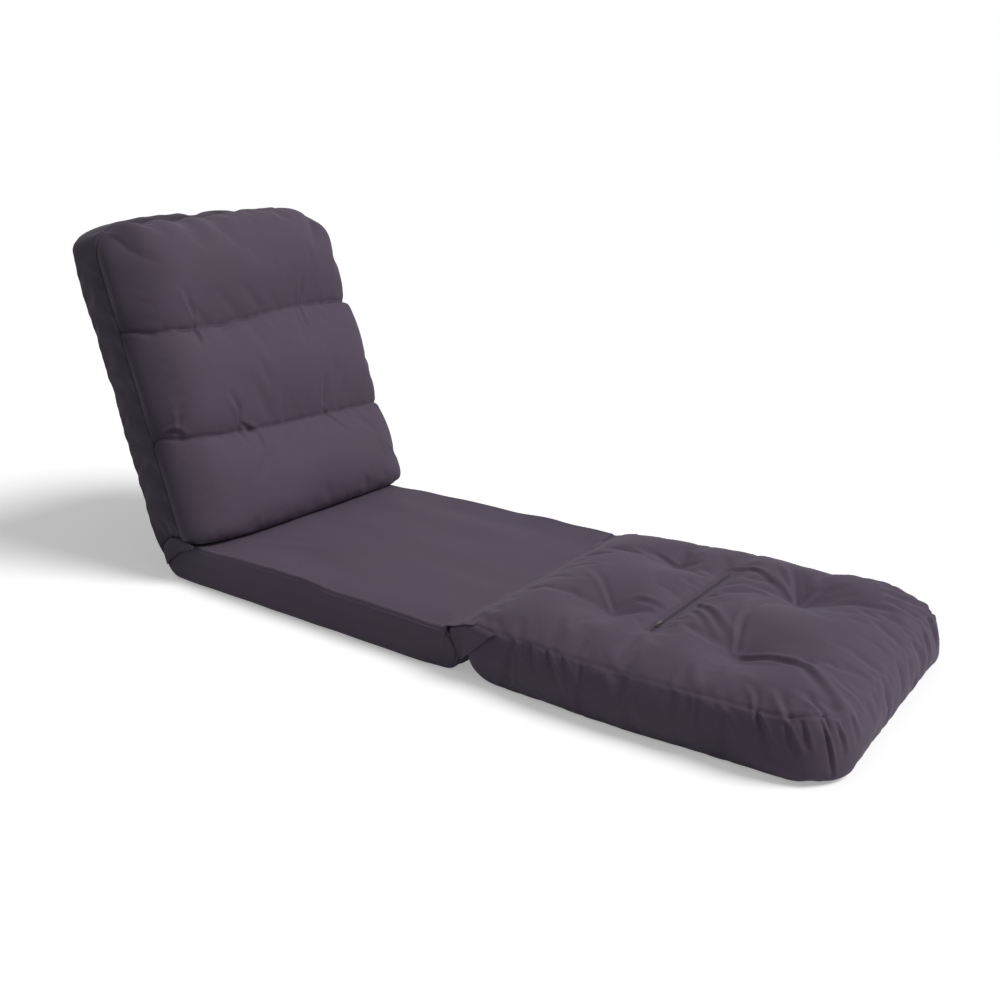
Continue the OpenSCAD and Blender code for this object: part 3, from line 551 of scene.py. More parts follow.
def seam_gap(points, seam, reach=40.0):
    """Each point's distance in millimetres from a seam, a row of points, out to a reach."""
    fine = along(seam, 4 * len(seam))
    tree = kdtree.KDTree(len(fine))
    for number, spot in enumerate(fine):
        tree.insert(spot, number)
    tree.balance()
    low, high = fine.min(axis=0) - reach, fine.max(axis=0) + reach
    gap = np.full(len(points), reach)
    for number in np.flatnonzero(np.all((points > low) & (points < high), axis=1)):
        gap[number] = min(reach, tree.find(points[number])[2])
    return gap


foot_net = pillow_grid(np.linspace(-1, 1, 79), np.linspace(-1, 1, 89), 18)
foot_near, foot_far = -367.0, -981.0
foot_mid, foot_half = (foot_near + foot_far) / 2, (foot_near - foot_far) / 2
ties = np.array([[-8, zip_y + 2], [-112, -560], [134, -550], [-140, -790], [106, -793]])


def foot_form(u, v, ring, flat):
    """A crowned face over a plan that narrows to both ends, a side that swells below the seam and turns in
    on the floor, and a flat sole. Gaussian dips stand at the ties, and the zip lies in a level trough."""
    way = np.clip(ring, 0, 1)
    rim_in = np.interp(way, [0, 0.18, 0.45, 0.75, 0.92, 1.0], [6, 1, -3, -4, 0, 9])
    rim_z = np.interp(way, [0, 0.18, 0.45, 0.75, 0.92, 1.0], [93, 80, 50, 20, 5, 0])
    near_in = np.interp(way, [0, 0.3, 0.55, 0.75, 0.92, 1.0], [3, 2, 4, 16, 36, 52])
    far_in = np.interp(way, [0, 0.18, 0.45, 0.75, 0.92, 1.0], [6, 1, -5, -8, -6, 4])
    end_in = np.where(v > 0, near_in, far_in)
    y = v * (foot_half - end_in)
    half = np.interp(y + foot_mid, [-978, -886, -830, -760, -680, -595, -480, -421, -366],
                     [260, 267, 268, 274, 280, 280, 277, 275, 272]) - rim_in
    x, y = round_corners(u * half, y, half, foot_half - end_in,
                         np.where(v > 0, 24, np.where(u > 0, 50, 74)))
    y = y + foot_mid
    crown = (1 - np.abs(u) ** np.where(u < 0, 5, 9)) * (1 - np.abs(v) ** np.where(v > 0, 9, 8))
    dips = sum(np.exp(-((x - cx) ** 2 + (y - cy) ** 2) / 36 ** 2) * deep
               for (cx, cy), deep in zip(ties, [5, 15, 13, 18, 17]))
    ear = 9 * np.exp(-(((x + 256) / 40) ** 2 + ((y + 952) / 40) ** 2))
    ear = ear + np.clip((x - 130) / 110, 0, 1) * np.interp(
        y, [-940, -915, -897, -863, -828, -794, -719, -642, -560, -450], [0, 5, 11, 13, 13, 7, 8, 7, 3, 0])
    top = 93 + ear + 19 * crown - np.minimum(1, 2 * crown) * dips
    level = np.exp(-((y - zip_y) / 20) ** 4) * np.exp(-(x / 160) ** 12)
    top = top + (zip_level - top) * level
    z = np.where(flat == 0, top, np.where(flat == 1, rim_z + ear * np.clip(1 - way / 0.5, 0, 1), 0.0))
    return np.stack([x, y, z], axis=-1)


foot_points = foot_form(foot_net["u"], foot_net["v"], foot_net["ring"], foot_net["flat"])
foot_cushion = make_piece("foot_cushion_cover", foot_points, foot_net["quads"],
                          cloth_places(foot_net, foot_points, 2), cover_cloth)
x, y, z = foot_points.T
tied = sum(np.exp(-((x - cx) ** 2 + (y - cy) ** 2) / 9 ** 2) for cx, cy in ties) * (foot_net["flat"] == 0)
on_zip = (foot_net["flat"] == 0) * np.exp(-((y - zip_y) / 12) ** 4) * (np.abs(x) < 156)
on_seam = (foot_net["flat"] == 0) * np.maximum(np.abs(foot_net["u"]), np.abs(foot_net["v"])) >= 0.999
at_gusset = np.clip((y + 450) / 20, 0, 1) * np.clip((95 - z) / 4, 0, 1)
held = np.clip(tied + on_zip + 0.6 * on_seam + (z < 1.5) + at_gusset, 0, 1)
inflate(foot_cushion, held, pressure=4.5, spare=0.02, most=24, bend=0.8)
refine(foot_cushion)
points, normals = read_points(foot_cushion)
folds = [
    ([[-10, -656], [-79, -722], [-127, -772]], 9, 3.8, 4.5),
    ([[-48, -668], [-125, -737], [-142, -775]], 8, 2.8, 2.5),
    ([[-123, -779], [-55, -756], [12, -751], [57, -768], [104, -789]], 8, 5, 3),
    ([[-134, -788], [-132, -831], [-141, -882], [-194, -947], [-231, -984]], 8, 5, 5),
    ([[102, -787], [189, -743], [218, -716]], 7, 4, 3), ([[108, -783], [150, -748], [182, -717]], 6, 3, 2),
    ([[98, -792], [150, -812], [183, -848]], 7, 4, 3),
    ([[128, -648], [161, -647], [168, -674], [130, -729], [96, -785]], 7, 4, 3),
    ([[150, -503], [137, -544], [158, -589]], 7, 3, 2),
    ([[-98, -550], [-64, -578], [-66, -612], [-76, -639]], 7, 4, 3),
    ([[-100, -552], [-47, -501], [0, -448]], 7, 3, 2)]
upper_share = np.clip((points[:, 2] - 62) / 16, 0, 1) * np.clip(normals[:, 2] * 2, 0, 1)
clear_of_zip = 1 - np.exp(-((points[:, 1] - zip_y) / 14) ** 4) * (np.abs(points[:, 0]) < 158)
lift = upper_share * clear_of_zip * fold_lines(points[:, :2], folds)
seam_row = points[np.append(foot_net["side"][0], foot_net["side"][0][0])]
seam_off = seam_gap(points, seam_row)
around = -points[:, 1] + (points[:, 0] + 270)
near_corner = np.exp(-((around - 960) / 90) ** 4) * (points[:, 0] < 0)
far_end = np.clip((-905 - points[:, 1]) / 40, 0, 1)
end_middle = far_end * np.clip((215 - np.abs(points[:, 0] - 10)) / 70, 0, 1)
gathered = np.maximum(near_corner, far_end) * (1 - end_middle)
lift -= (1.7 * (1 - 0.75 * end_middle) + 1.6 * gathered) * np.exp(-(seam_off / 3.4) ** 2)
gathers = ripples(np.stack([points[:, 1], points[:, 0]], axis=-1), 40, 44)
lift += (0.6 * (1 - 0.5 * end_middle) + 1.2 * gathered) * gathers * np.exp(-(seam_off / 17) ** 2)
side_folds = [
    ([[985, 94], [992, 72], [1000, 48], [1008, 12]], 4, 5, 3.5),
    ([[786, 92], [783, 60], [779, 10]], 4, 2.2, 1.2), ([[472, 90], [476, 72], [482, 58]], 5, 3.0, 2.4),
    ([[502, 91], [505, 70], [513, 50]], 5, 3.2, 2.4), ([[530, 97], [540, 70], [556, 32]], 5.5, 4.0, 3.2),
    ([[560, 94], [563, 76], [570, 60]], 5, 3.0, 2.2), ([[592, 92], [590, 70], [597, 50]], 5, 2.6, 2.0),
    ([[878, 92], [884, 70], [896, 34]], 6, 4.6, 3.4), ([[918, 90], [926, 68], [938, 44]], 6, 4.8, 3.6),
    ([[948, 92], [952, 74], [957, 52]], 5, 3.6, 2.6), ([[1016, 86], [1026, 66], [1032, 40]], 5, 3.4, 2.8),
    ([[1050, 92], [1062, 72], [1070, 52]], 6, 3.6, 2.8),
    ([[1104, 94], [1118, 74], [1134, 50]], 7, 1.6, 1.2),
    ([[1228, 94], [1234, 76], [1250, 62]], 7, 0.9, 0.8),
    ([[1342, 94], [1346, 76], [1362, 56]], 7, 1.2, 1.0),
    ([[1392, 96], [1398, 74], [1404, 44]], 7, 4.4, 3.2),
    ([[1436, 96], [1446, 72], [1452, 40]], 7, 4.8, 3.4),
    ([[1474, 96], [1480, 70], [1490, 44]], 6, 4.0, 3.0)]
steep = np.clip((0.75 - np.abs(normals[:, 2])) / 0.25, 0, 1) * (points[:, 1] < -455)
near_half = np.where((points[:, 0] < 0) | (points[:, 1] < -900), 1.0, 0.0)
lift += steep * near_half * fold_lines(np.stack([around, points[:, 2]], axis=-1), side_folds)
end_folds = [
    ([[-150, -978], [-146, -950], [-128, -918]], 7, 2.0, 1.6),
    ([[-12, -978], [-8, -955], [-20, -932]], 7, 0.8, 0.6),
    ([[118, -978], [110, -952], [118, -915]], 7, 1.2, 1.0),
    ([[170, -976], [158, -946], [160, -905]], 7, 3.6, 3.0),
    ([[208, -970], [192, -940], [188, -896]], 8, 5.0, 3.8),
    ([[240, -958], [220, -926], [212, -884]], 8, 5.2, 4.0),
    ([[260, -925], [240, -902], [222, -872]], 7, 4.4, 3.4),
    ([[264, -880], [246, -866], [232, -842]], 6, 3.2, 2.6),
    ([[-236, -962], [-214, -930], [-205, -902]], 6, 4.0, 3.0),
    ([[-262, -918], [-240, -900], [-214, -880]], 6, 3.8, 3.0),
    ([[-264, -872], [-240, -862], [-222, -840]], 5, 3.2, 2.4),
    ([[276, -902], [252, -884], [236, -858]], 5, 5.0, 4.2),
    ([[262, -946], [244, -914], [236, -890]], 5, 5.0, 4.0),
    ([[226, -974], [206, -950], [196, -920]], 6, 4.6, 3.8)]
lift += upper_share * fold_lines(points[:, :2], end_folds)
foot_top = points + normals * lift[:, None]
write_points(foot_cushion, foot_top)
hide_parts("foot_cushion")
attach(foot_cushion, "foot")

# Back, its boxing and rear panel: the same cloth over a flat foam slab on the steel frame. The boxing strip
# runs up one side, over the top and down the other, its edge seam is puckered, and the lower end is hollowed
# round the seat's roll, which is where the back turns.
rest_lean = np.radians(18.5)
back_up = np.array([0.0, np.sin(rest_lean), np.cos(rest_lean)])
back_ahead = np.array([0.0, -np.cos(rest_lean), np.sin(rest_lean)])
hinge_line = np.array([0.0, axis_y, axis_z])
boxing_seam = 39.6


def on_back(x, s, h):
    """Points from the back's own measures: across, up along the back from the hinge line, and ahead."""
    return hinge_line + x[..., None] * [1.0, 0, 0] + s[..., None] * back_up + h[..., None] * back_ahead


def off_back(points):
    """The back's own measures of points: across, up and ahead."""
    gap = points - hinge_line
    return gap[:, 0], gap @ back_up, gap @ back_ahead


def lowest(h):
    """How low the back may reach at a place h ahead: round the seat's roll, and clear of the seat's top."""
    hollow = np.sqrt(np.maximum(0, (roll_r + 1.0) ** 2 - np.minimum(np.abs(h), roll_r + 1) ** 2))
    rest = (roll_r + 1.2 - h * np.sin(rest_lean)) / np.cos(rest_lean)
    return np.where(h < 0, hollow, np.maximum(hollow, rest))


def highest(h, x):
    """How high the back reaches: flat over the top and falling away to the front. Towards the near corner
    the rear edge slants down and the front edge has sunk, in the lumps that the gathered seam leaves."""
    top = np.interp(h, [-48, -41, -30, -12, 10, 40, 62, 80, 95, 112, 130],
                    [687, 695, 697, 697, 693, 687, 681, 673, 663, 636, 598])
    rear = np.interp(x, [-285, -230, -190, -126, -100], [16, 15, 11, 1, 0])
    front = np.interp(x, [-285, -215, -65, 10, 60, 120], [17, 17, 15, 10, 5, 0])
    front = front + 3.2 * np.sin((x + 30) * 2 * np.pi / 78) * np.clip((40 - x) / 80, 0, 1)
    ahead = np.clip((h + 5) / 45, 0, 1)
    return top - rear * (1 - ahead) - front * ahead


boxing_net = pillow_grid(np.linspace(-1, 1, 63), np.linspace(-1, 1, 75), 13)


def boxing_form(u, v, ring, flat):
    """A flat rear panel, a side strip from its seam forward to the quilt's seam, and a hidden flat front."""
    way = np.clip(ring, 0, 1)
    h = np.where(flat == 0, -41.0,
                 np.interp(way, [0, 0.1, 0.3, 0.6, 0.9, 1.0], [-41, -37, -22, 4, 32, boxing_seam]))
    rim_in = np.interp(way, [0, 0.1, 0.3, 0.6, 0.9, 1.0], [-0.5, -1.5, -1.0, -0.4, 0.4, 1.6])
    half = 284 - rim_in - 9 * np.clip((-v - 0.84) / 0.16, 0, 1) ** 1.5
    low, high = lowest(h), highest(h, -u * half) - 2
    mid, tall = (low + high) / 2, (high - low) / 2
    x, s = round_corners(u * half, v * tall, half, tall, np.where(v > 0, np.where(u > 0, 70.0, 90.0), 16.0))
    h = h - np.where(flat == 0, 3.0 * (1 - u ** 6) * (1 - v ** 6), 0)
    return x, s + mid, h


x, s, h = boxing_form(boxing_net["u"], boxing_net["v"], boxing_net["ring"], boxing_net["flat"])
plain = np.stack([-x, s, -h], axis=-1)
# Painted shade: the boxing, the rear hinge cloth and the hinge ears are the same cloth as the rest, drawn at
# 0.52 of its colour all over.
boxing_painted_shade_cloth = woven_cloth("plum_grey_cloth_painted_shade", 0.52)
back_boxing = make_piece("back_boxing_cover", on_back(-x, s, h), boxing_net["quads"],
                         cloth_places(boxing_net, plain, 2), boxing_painted_shade_cloth)
to_edge = np.maximum(np.abs(boxing_net["u"]), np.abs(boxing_net["v"]))
edge_line = (boxing_net["flat"] == 0) & (to_edge > 0.999)
held = np.clip((h > 36) * 1.0 + (s < 60) * 1.0 + 0.8 * edge_line, 0, 1)
inflate(back_boxing, held, pressure=2.5, spare=0.02, most=9, bend=1.0)
refine(back_boxing)
points, normals = read_points(back_boxing)
edge_off = seam_gap(points, points[np.append(boxing_net["side"][0], boxing_net["side"][0][0])])
lift = -1.8 * np.exp(-(edge_off / 3.2) ** 2) + 1.1 * np.exp(-(edge_off / 20) ** 2) * ripples(points, 95, 45)
x, s, h = off_back(points)
at_top = np.clip((s - 560) / 60, 0, 1) * (h < 36)
lift += at_top * 1.8 * ripples(np.stack([x, s], axis=-1), 60, 46)
write_points(back_boxing, points + normals * lift[:, None])
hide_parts("back_cover")
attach(back_boxing, "back")

# Back, its quilted front: three chambers of loose fibre, sewn apart by two cross seams. The fill has sunk to
# the bottom of each chamber, which hangs over the seam below it, and pleats stand at a third and two thirds.
seam_shares = [0.318, 0.668]
share_rows = np.concatenate([np.linspace(0, seam_shares[0], 30),
                             np.linspace(seam_shares[0], seam_shares[1], 31)[1:],
                             np.linspace(seam_shares[1], 1, 29)[1:]])
across = np.linspace(-1, 1, 81)
quilt_net = pillow_grid(0.5 * across + 0.5 * np.sin(np.pi / 2 * across), 2 * share_rows - 1, 10)


def quilt_form(u, v, ring, flat):
    """Chambers full low down and drawn to the seams, over sides that swell out and turn in to the boxing."""
    way = np.clip(ring, 0, 1)
    t = (v + 1) / 2
    ends = np.array([0, *seam_shares, 1])
    room = np.clip(np.searchsorted(ends, t, side="right") - 1, 0, 2)
    k = (t - ends[room]) / (ends[room + 1] - ends[room])
    sunk = np.where(k < 0.42, k / 0.84, 0.5 + (k - 0.42) / 1.16)
    swell = 1 - np.abs(2 * sunk - 1) ** 2.6
    swell = np.where((room == 0) & (k < 0.42), 1 - np.abs(2 * sunk - 1) ** 6, swell)
    swell = np.where((room == 2) & (k > 0.42), 1 - np.abs(2 * sunk - 1) ** 4, swell)
    crown_h = np.array([110, 107, 98])[room] + np.array([20, 16, 14])[room] * swell
    crown_h = np.where((room == 0) & (k < 0.42), 100 + 30 * swell, crown_h)
    crown_h = np.where((room == 2) & (k > 0.42), 84 + 28 * swell, crown_h)
    near = np.clip((-u - 0.2) / 0.8, 0, 1) ** 1.5
    edge_h = (crown_h - 3 - 5 * swell) * (1 - near) + (55 + 6 * swell) * near
    face_h = edge_h + ((crown_h - edge_h)
                       * (1 - np.abs(u) ** np.where(u > 0, 10.0, 3.0)) ** np.where(u > 0, 0.5, 0.68))
    face_h = face_h + 2.2 * ripples(np.stack([u * 280, t * 640], axis=-1), 170, 47) * (1 - u ** 4) * swell
    rim_h = boxing_seam + (edge_h - boxing_seam) * np.interp(way, [0, 0.2, 0.6, 1.0], [1, 0.84, 0.42, 0])
    far_in = (np.interp(way, [0, 0.2, 0.6, 1.0], [4, -1, -3, 1.0])
              - 3 * swell * np.interp(way, [0, 0.3, 1], [1, 1, 0]))
    near_in = np.interp(way, [0, 0.3, 0.7, 1.0], [0.5, -0.5, -0.2, 1.0]) - 3 * swell * (1 - way)
    rim_in = np.where(u < 0, near_in, far_in)
    h = np.where(flat == 0, face_h, np.where(flat == 1, rim_h, boxing_seam))
    half = 284 - rim_in - np.where(flat < 2, np.where(u > 0, 2, 8) * (1 - swell) * np.clip(1 - way, 0, 1), 0)
    half = half + 3 * (u > 0) * (room < 2) * (flat < 2) * (1 - way)
    low, high = lowest(h), highest(np.minimum(h, 84.0), u * half)
    low = np.where(flat == 0, low + 2.5, low + 1)
    high = np.where(flat == 0, high - 2, high - 1)
    mid, tall = (low + high) / 2, (high - low) / 2
    x, s = round_corners(u * half, v * tall, half, tall, np.where(v > 0, 76.0, 16.0))
    s = s + mid
    bend = (-12.5 * x / 260 - 4 * (1 - (x / 260) ** 2)) * np.exp(-((t - seam_shares[0]) / 0.13) ** 2)
    bend = bend + (3 * np.sin(x / 70)) * np.exp(-((t - seam_shares[1]) / 0.1) ** 2)
    return x, s + bend * (flat == 0) + bend * (flat == 1) * (1 - way), h


# Painted shade: the quilt's cloth is darkened towards the boxing seam all round, down to 0.68 of its colour,
# and over its near side only, down to 0.62, so left and right differ.
hinge_ahead = float(hinge_line @ back_ahead) * mm
quilt_cloth = woven_cloth("quilt_cloth", 1.0, [
    (back_ahead.tolist(), 0.042 + hinge_ahead, 0.080 + hinge_ahead, 0.68),
    ((1.0, 0.0, -0.15), -0.344, -0.232, 0.62)])
x, s, h = quilt_form(quilt_net["u"], quilt_net["v"], quilt_net["ring"], quilt_net["flat"])
back_quilt = make_piece("back_quilt_cover", on_back(x, s, h), quilt_net["quads"],
                        cloth_places(quilt_net, np.stack([x, s, h], axis=-1), 2), quilt_cloth)
t = (quilt_net["v"] + 1) / 2
on_line = sum(np.abs(t - share) < 1e-6 for share in seam_shares) * (quilt_net["ring"] < 0.95)
near_rim = 0.6 * np.clip((-quilt_net["u"] - 0.75) / 0.25, 0, 1) * (quilt_net["flat"] < 2)
held = np.clip(1.0 * on_line + (h < 43) + (t < 1e-6) + near_rim, 0, 1)
inflate(back_quilt, held, pressure=4.5, spare=0.006, most=22, bend=1.5)
refine(back_quilt)
points, normals = read_points(back_quilt)
x, s, h = off_back(points)
pleats = [
    ([[-150, 456], [-158, 490], [-163, 522]], 6, 5, 3), ([[-150, 452], [-158, 425], [-165, 395]], 6, 5, 3),
    ([[134, 454], [143, 480], [150, 508]], 5, 4, 2), ([[134, 450], [126, 425], [120, 398]], 5, 4, 2),
    ([[-125, 236], [-122, 262], [-135, 302]], 6, 6, 4), ([[-125, 230], [-123, 210], [-122, 185]], 5, 4, 2),
    ([[-118, 232], [-85, 207], [-92, 172]], 6, 5, 3), ([[112, 226], [120, 272], [124, 290]], 5, 4, 2),
    ([[112, 222], [128, 190], [152, 156]], 6, 4, 3),
    ([[-275, 237], [-269, 248], [-260, 251], [-250, 244], [-246, 231]], 4.5, 6, 5.5),
    ([[-250, 254], [-246, 274], [-238, 302]], 6, 3.5, 2.5)]
ahead_share = np.clip((h - 62) / 14, 0, 1) * np.clip(normals @ back_ahead * 2.5, 0, 1)
lift = ahead_share * fold_lines(np.stack([x, s], axis=-1), pleats)
seam_rows = []
for share in seam_shares:
    on_this = np.abs(t - share) < 1e-6
    face_row = np.flatnonzero(on_this & (quilt_net["flat"] == 0))
    face_row = face_row[np.argsort(points[face_row, 0])]
    near_row, far_row = [np.flatnonzero(on_this & (quilt_net["flat"] == 1) & (quilt_net["u"] * side > 0))
                         for side in (-1, 1)]
    near_row = near_row[np.argsort(-quilt_net["ring"][near_row])]
    far_row = far_row[np.argsort(quilt_net["ring"][far_row])]
    seam_rows.append(points[face_row])
    off = seam_gap(points, points[np.concatenate([near_row, face_row, far_row])])
    pucker = ripples(np.stack([x, s * 0.2], axis=-1), 24, 48)
    lift += (h > 41) * (1.0 * pucker * np.exp(-(off / 13) ** 2) - 4.2 * np.exp(-(off / 3.6) ** 2))
write_points(back_quilt, points + normals * lift[:, None])
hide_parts("back_quilt")
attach(back_quilt, "back")

# Cloth round the recline hinge: the rear panel runs on under the hinge line to the seat's underside, and an
# ear of the boxing cloth covers each end of the roll and is sewn slantwise to the seat's side panel.


def strip_piece(name, path, across, thick, material, lift=None):
    """A flat strip with two faces: a path in Y and Z carried across X, and its copy moved square to it."""
    step = np.gradient(path, axis=0)
    normal = np.stack([-step[:, 1], step[:, 0]], axis=-1)
    normal /= np.linalg.norm(normal, axis=1)[:, None]
    ring = np.concatenate([path, (path - normal * thick)[::-1]])
    yz = np.broadcast_to(ring[:, None], (len(ring), len(across), 2)).copy()
    if lift is not None:
        yz[..., 1] += lift(np.broadcast_to(across, yz.shape[:2]), yz[..., 0])
    x = np.broadcast_to(across[None, :, None], (len(ring), len(across), 1))
    points = np.concatenate([x, yz], axis=-1)
    grid = np.arange(points[..., 0].size).reshape(len(ring), len(across))
    looped = np.vstack([grid, grid[:1]])
    sides = np.stack([looped[:-1, :-1], looped[1:, :-1], looped[1:, 1:], looped[:-1, 1:]],
                     axis=-1).reshape(-1, 4)
    half = len(path)
    back = grid[::-1]
    caps = [np.stack([grid[:half - 1, k], grid[1:half, k], back[1:half, k], back[:half - 1, k]], axis=-1)
            for k in (0, -1)]
    quads = np.vstack([sides, *caps])
    flat = points.reshape(-1, 3)
    way = np.arange(len(flat)) // len(across) * 2.0
    places = np.stack([flat[quads, 0], way[quads]], axis=-1).reshape(-1, 2)
    return make_piece(name, flat, quads, places, material)


def side_patch(name, x, yz, inwards, material):
    """A thin patch of cloth at the chair's side: a grid of Y and Z places, X for each, and an inner copy."""
    rows, columns = x.shape
    outer = np.stack([x, yz[..., 0], yz[..., 1]], axis=-1).reshape(-1, 3)
    inner = outer + [inwards, 0, 0]
    quads, n = grid_quads(rows, columns), rows * columns
    net = np.arange(n).reshape(rows, columns)
    rim = np.concatenate([net[:-1, 0], net[-1, :-1], net[:0:-1, -1], net[0, :0:-1]])
    wall = np.stack([rim, np.roll(rim, -1), np.roll(rim, -1) + n, rim + n], axis=-1)
    points, faces = np.vstack([outer, inner]), np.vstack([quads, quads[:, ::-1] + n, wall])
    piece = make_piece(name, points, faces, points[faces][..., 1:].reshape(-1, 2), material)
    close_seams(piece)
    smooth_once(piece)
    return piece


rear_point = (hinge_line + np.array([[s, h] for s, h in [(4, -43.5), (16, -44), (30, -43.6), (44, -42.2)]])
              @ np.array([back_up, back_ahead]))[:, 1:]
rear_path = np.vstack([arc(axis_y, roll_mid, 39.9, -88, -30, 16), rear_point])
rear_across = np.sort(np.append(np.linspace(-276.5, 276.5, 80), [-275, -273, -268, 268, 273, 275]))
# Painted shade: the rear hinge cloth uses the boxing's darkened copy of the cloth.
rear_wrap = strip_piece("hinge_rear_cloth", rear_path[::-1], rear_across, 1.2, boxing_painted_shade_cloth,
                        lambda x, y: 0.9 * ripples(np.stack([x, y], axis=-1), 60, 31) * (y > 360))
points, normals = read_points(rear_wrap)
tucked = 5.0 * np.clip((np.abs(points[:, 0]) - 266) / 11, 0, 1) ** 2
middle_line = np.array([axis_y, roll_mid])
inwards = middle_line - points[:, 1:]
points[:, 1:] += inwards / np.linalg.norm(inwards, axis=1)[:, None] * tucked[:, None]
write_points(rear_wrap, points)
close_seams(rear_wrap)
smooth_once(rear_wrap)
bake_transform(rear_wrap)


def hinge_ear(side):
    """Lines from a slanting seam on the seat's side to a curve on the back's side, bulging a little."""
    low = along([[286, 77.3], [336, 60], [366, 36], [378, 24]], 33)
    high = along([[285, 82], [304, 87], [334, 91], [360, 86], [378, 70], [386, 50], [380, 25.5]], 33)
    b = np.linspace(0, 1, 15)
    yz = low[:, None] * (1 - b[:, None]) + high[:, None] * b[:, None]
    lean_in = np.clip((yz[..., 1] - 22) / 40, 0, 1)
    out = (277.6 + 4 * np.clip((low[:, :1] - 300) / 70, 0, 1) * (1 - b)
           + (6.4 * b + 1.6 * np.sin(np.pi * b)) * lean_in)
    x = side * (out - 3.2 * np.clip((b - 0.8) / 0.2, 0, 1) ** 2)
    # Painted shade: the ear uses the boxing's darkened copy of the cloth.
    ear = side_patch("hinge_ear_left" if side < 0 else "hinge_ear_right", x, yz, -side * 1.2, boxing_painted_shade_cloth)
    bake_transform(ear)


hinge_ear(-1)
hinge_ear(1)

# Fold between seat and foot cushion: a strip of the cloth sewn to both top seams, on which the foot cushion
# flips over, and at each side a three-cornered gusset that closes the fold down to the floor side.
fold_path = along([[-336, 78.8], [-346, 79.8], [-355, 83.2], [-364, 88.3], [-373, 92.3], [-384, 95.0],
                   [-394, 97.0]], 20)
fold_cloth = strip_piece("fold_cloth", fold_path, np.linspace(-271, 271, 120), 1.0, cover_cloth,
                         lambda x, y: 0.7 * ripples(np.stack([x, y * 2], axis=-1), 75, 21)
                         - np.clip((-350 - y) / 15, 0, 1) * 3 * (np.abs(x) / 271) ** 10)
close_seams(fold_cloth)
smooth_once(fold_cloth)
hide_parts("seat_fold_flap", "foot_fold_flap")
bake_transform(fold_cloth)


def gusset(side):
    """A triangle of cloth between the seat's front corner, the foot cushion's near corner and the notch at
    the floor: straight lines from one edge to the other, sucked in between them and tucked in along the top.
    It rides on the foot cushion."""
    a, b = np.meshgrid(np.linspace(0, 1, 33), np.linspace(0, 0.985, 25), indexing="ij")
    top = along([[-345, 78.5], [-355, 83], [-364, 88.5], [-373, 92], [-395, 94], [-440, 93]], 33)
    notch = np.array([-372.0, 29.0])
    yz = top[:, None] * (1 - b[..., None]) + notch * b[..., None]
    out = np.interp(a, [0, 0.25, 0.6, 1], [274.5, 275, 279, 282.5])
    tuck = 7.0 * np.clip((0.14 - b) / 0.14, 0, 1) ** 2
    sucked = 4.5 * np.sin(np.pi * np.clip(a / 0.8, 0, 1)) * (1 - b) ** 0.5
    x = side * (out * (1 - b) + 277 * b - sucked - tuck)
    piece = side_patch("side_gusset_left" if side < 0 else "side_gusset_right", x, yz, -side * 1.2,
                       cover_cloth)
    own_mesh(piece)
    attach(piece, "foot")


gusset(-1)
gusset(1)

# Underside of the seat: a panel of dark felted cloth, glued and sewn flat under the pad. It has rounded
# corners, lies on the floor, and shows as an edge only.
felt = bpy.data.materials.new("dark_felt")
add = node_tree(felt)
where = add("ShaderNodeTexCoord").outputs["Object"]
fibres = add("ShaderNodeTexNoise", in_Vector=where, in_Scale=900.0, in_Detail=4.0, in_Roughness=0.7)
clumps = add("ShaderNodeTexNoise", in_Vector=where, in_Scale=60.0, in_Detail=3.0)
tone = two_tone(add, clumps.outputs["Fac"], (0.012, 0.012, 0.014), (0.026, 0.025, 0.029))
raised = add("ShaderNodeBump", in_Strength=0.4, in_Distance=0.0004, in_Height=fibres.outputs["Fac"])
skin(add, in_Base_Color=tone, in_Roughness=0.95, in_Normal=raised.outputs[0])
base_net = pillow_grid(np.linspace(-1, 1, 41), np.linspace(-1, 1, 49), 2)
base_half = (253.0, 330.0)
panel_under, panel_upper = 0.15, 1.15
base_x, base_y = round_corners(base_net["u"] * base_half[0], base_net["v"] * base_half[1], *base_half, 20.0)
base_z = np.where((base_net["flat"] == 2) | (base_net["ring"] > 0.7), panel_under, panel_upper)
base_points = np.stack([base_x, base_y - 16, base_z], axis=-1)
base_panel = make_piece("seat_base_panel", base_points, base_net["quads"],
                        cloth_places(base_net, base_points, 2), felt)
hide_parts("seat_base_cloth")
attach(base_panel, "seat")

# Fillings, hidden in their covers: cream foam slabs in the seat and the back, white fibre in the three
# chambers of the quilt and in the foot cushion. Each has the rounded edges of cut foam or stuffed fibre.


def filling_look(name, low, high, size, strength, rough):
    """Open-cell foam or loose fibre: a pale tone that varies in cells, with a bump of the same cells."""
    material = bpy.data.materials.new(name)
    add = node_tree(material)
    where = add("ShaderNodeTexCoord").outputs["Object"]
    cells = add("ShaderNodeTexVoronoi", in_Vector=where, in_Scale=size)
    drift = add("ShaderNodeTexNoise", in_Vector=where, in_Scale=size / 9, in_Detail=4.0)
    raised = add("ShaderNodeBump", in_Strength=strength, in_Distance=0.0008,
                 in_Height=cells.outputs["Distance"])
    skin(add, in_Base_Color=two_tone(add, drift.outputs["Fac"], low, high), in_Roughness=rough,
         in_Normal=raised.outputs[0])
    return material


foam_look = filling_look("cream_foam", (0.66, 0.60, 0.42), (0.80, 0.74, 0.56), 700.0, 0.5, 0.95)
fibre_look = filling_look("white_fibre", (0.74, 0.74, 0.72), (0.90, 0.90, 0.88), 240.0, 0.8, 1.0)


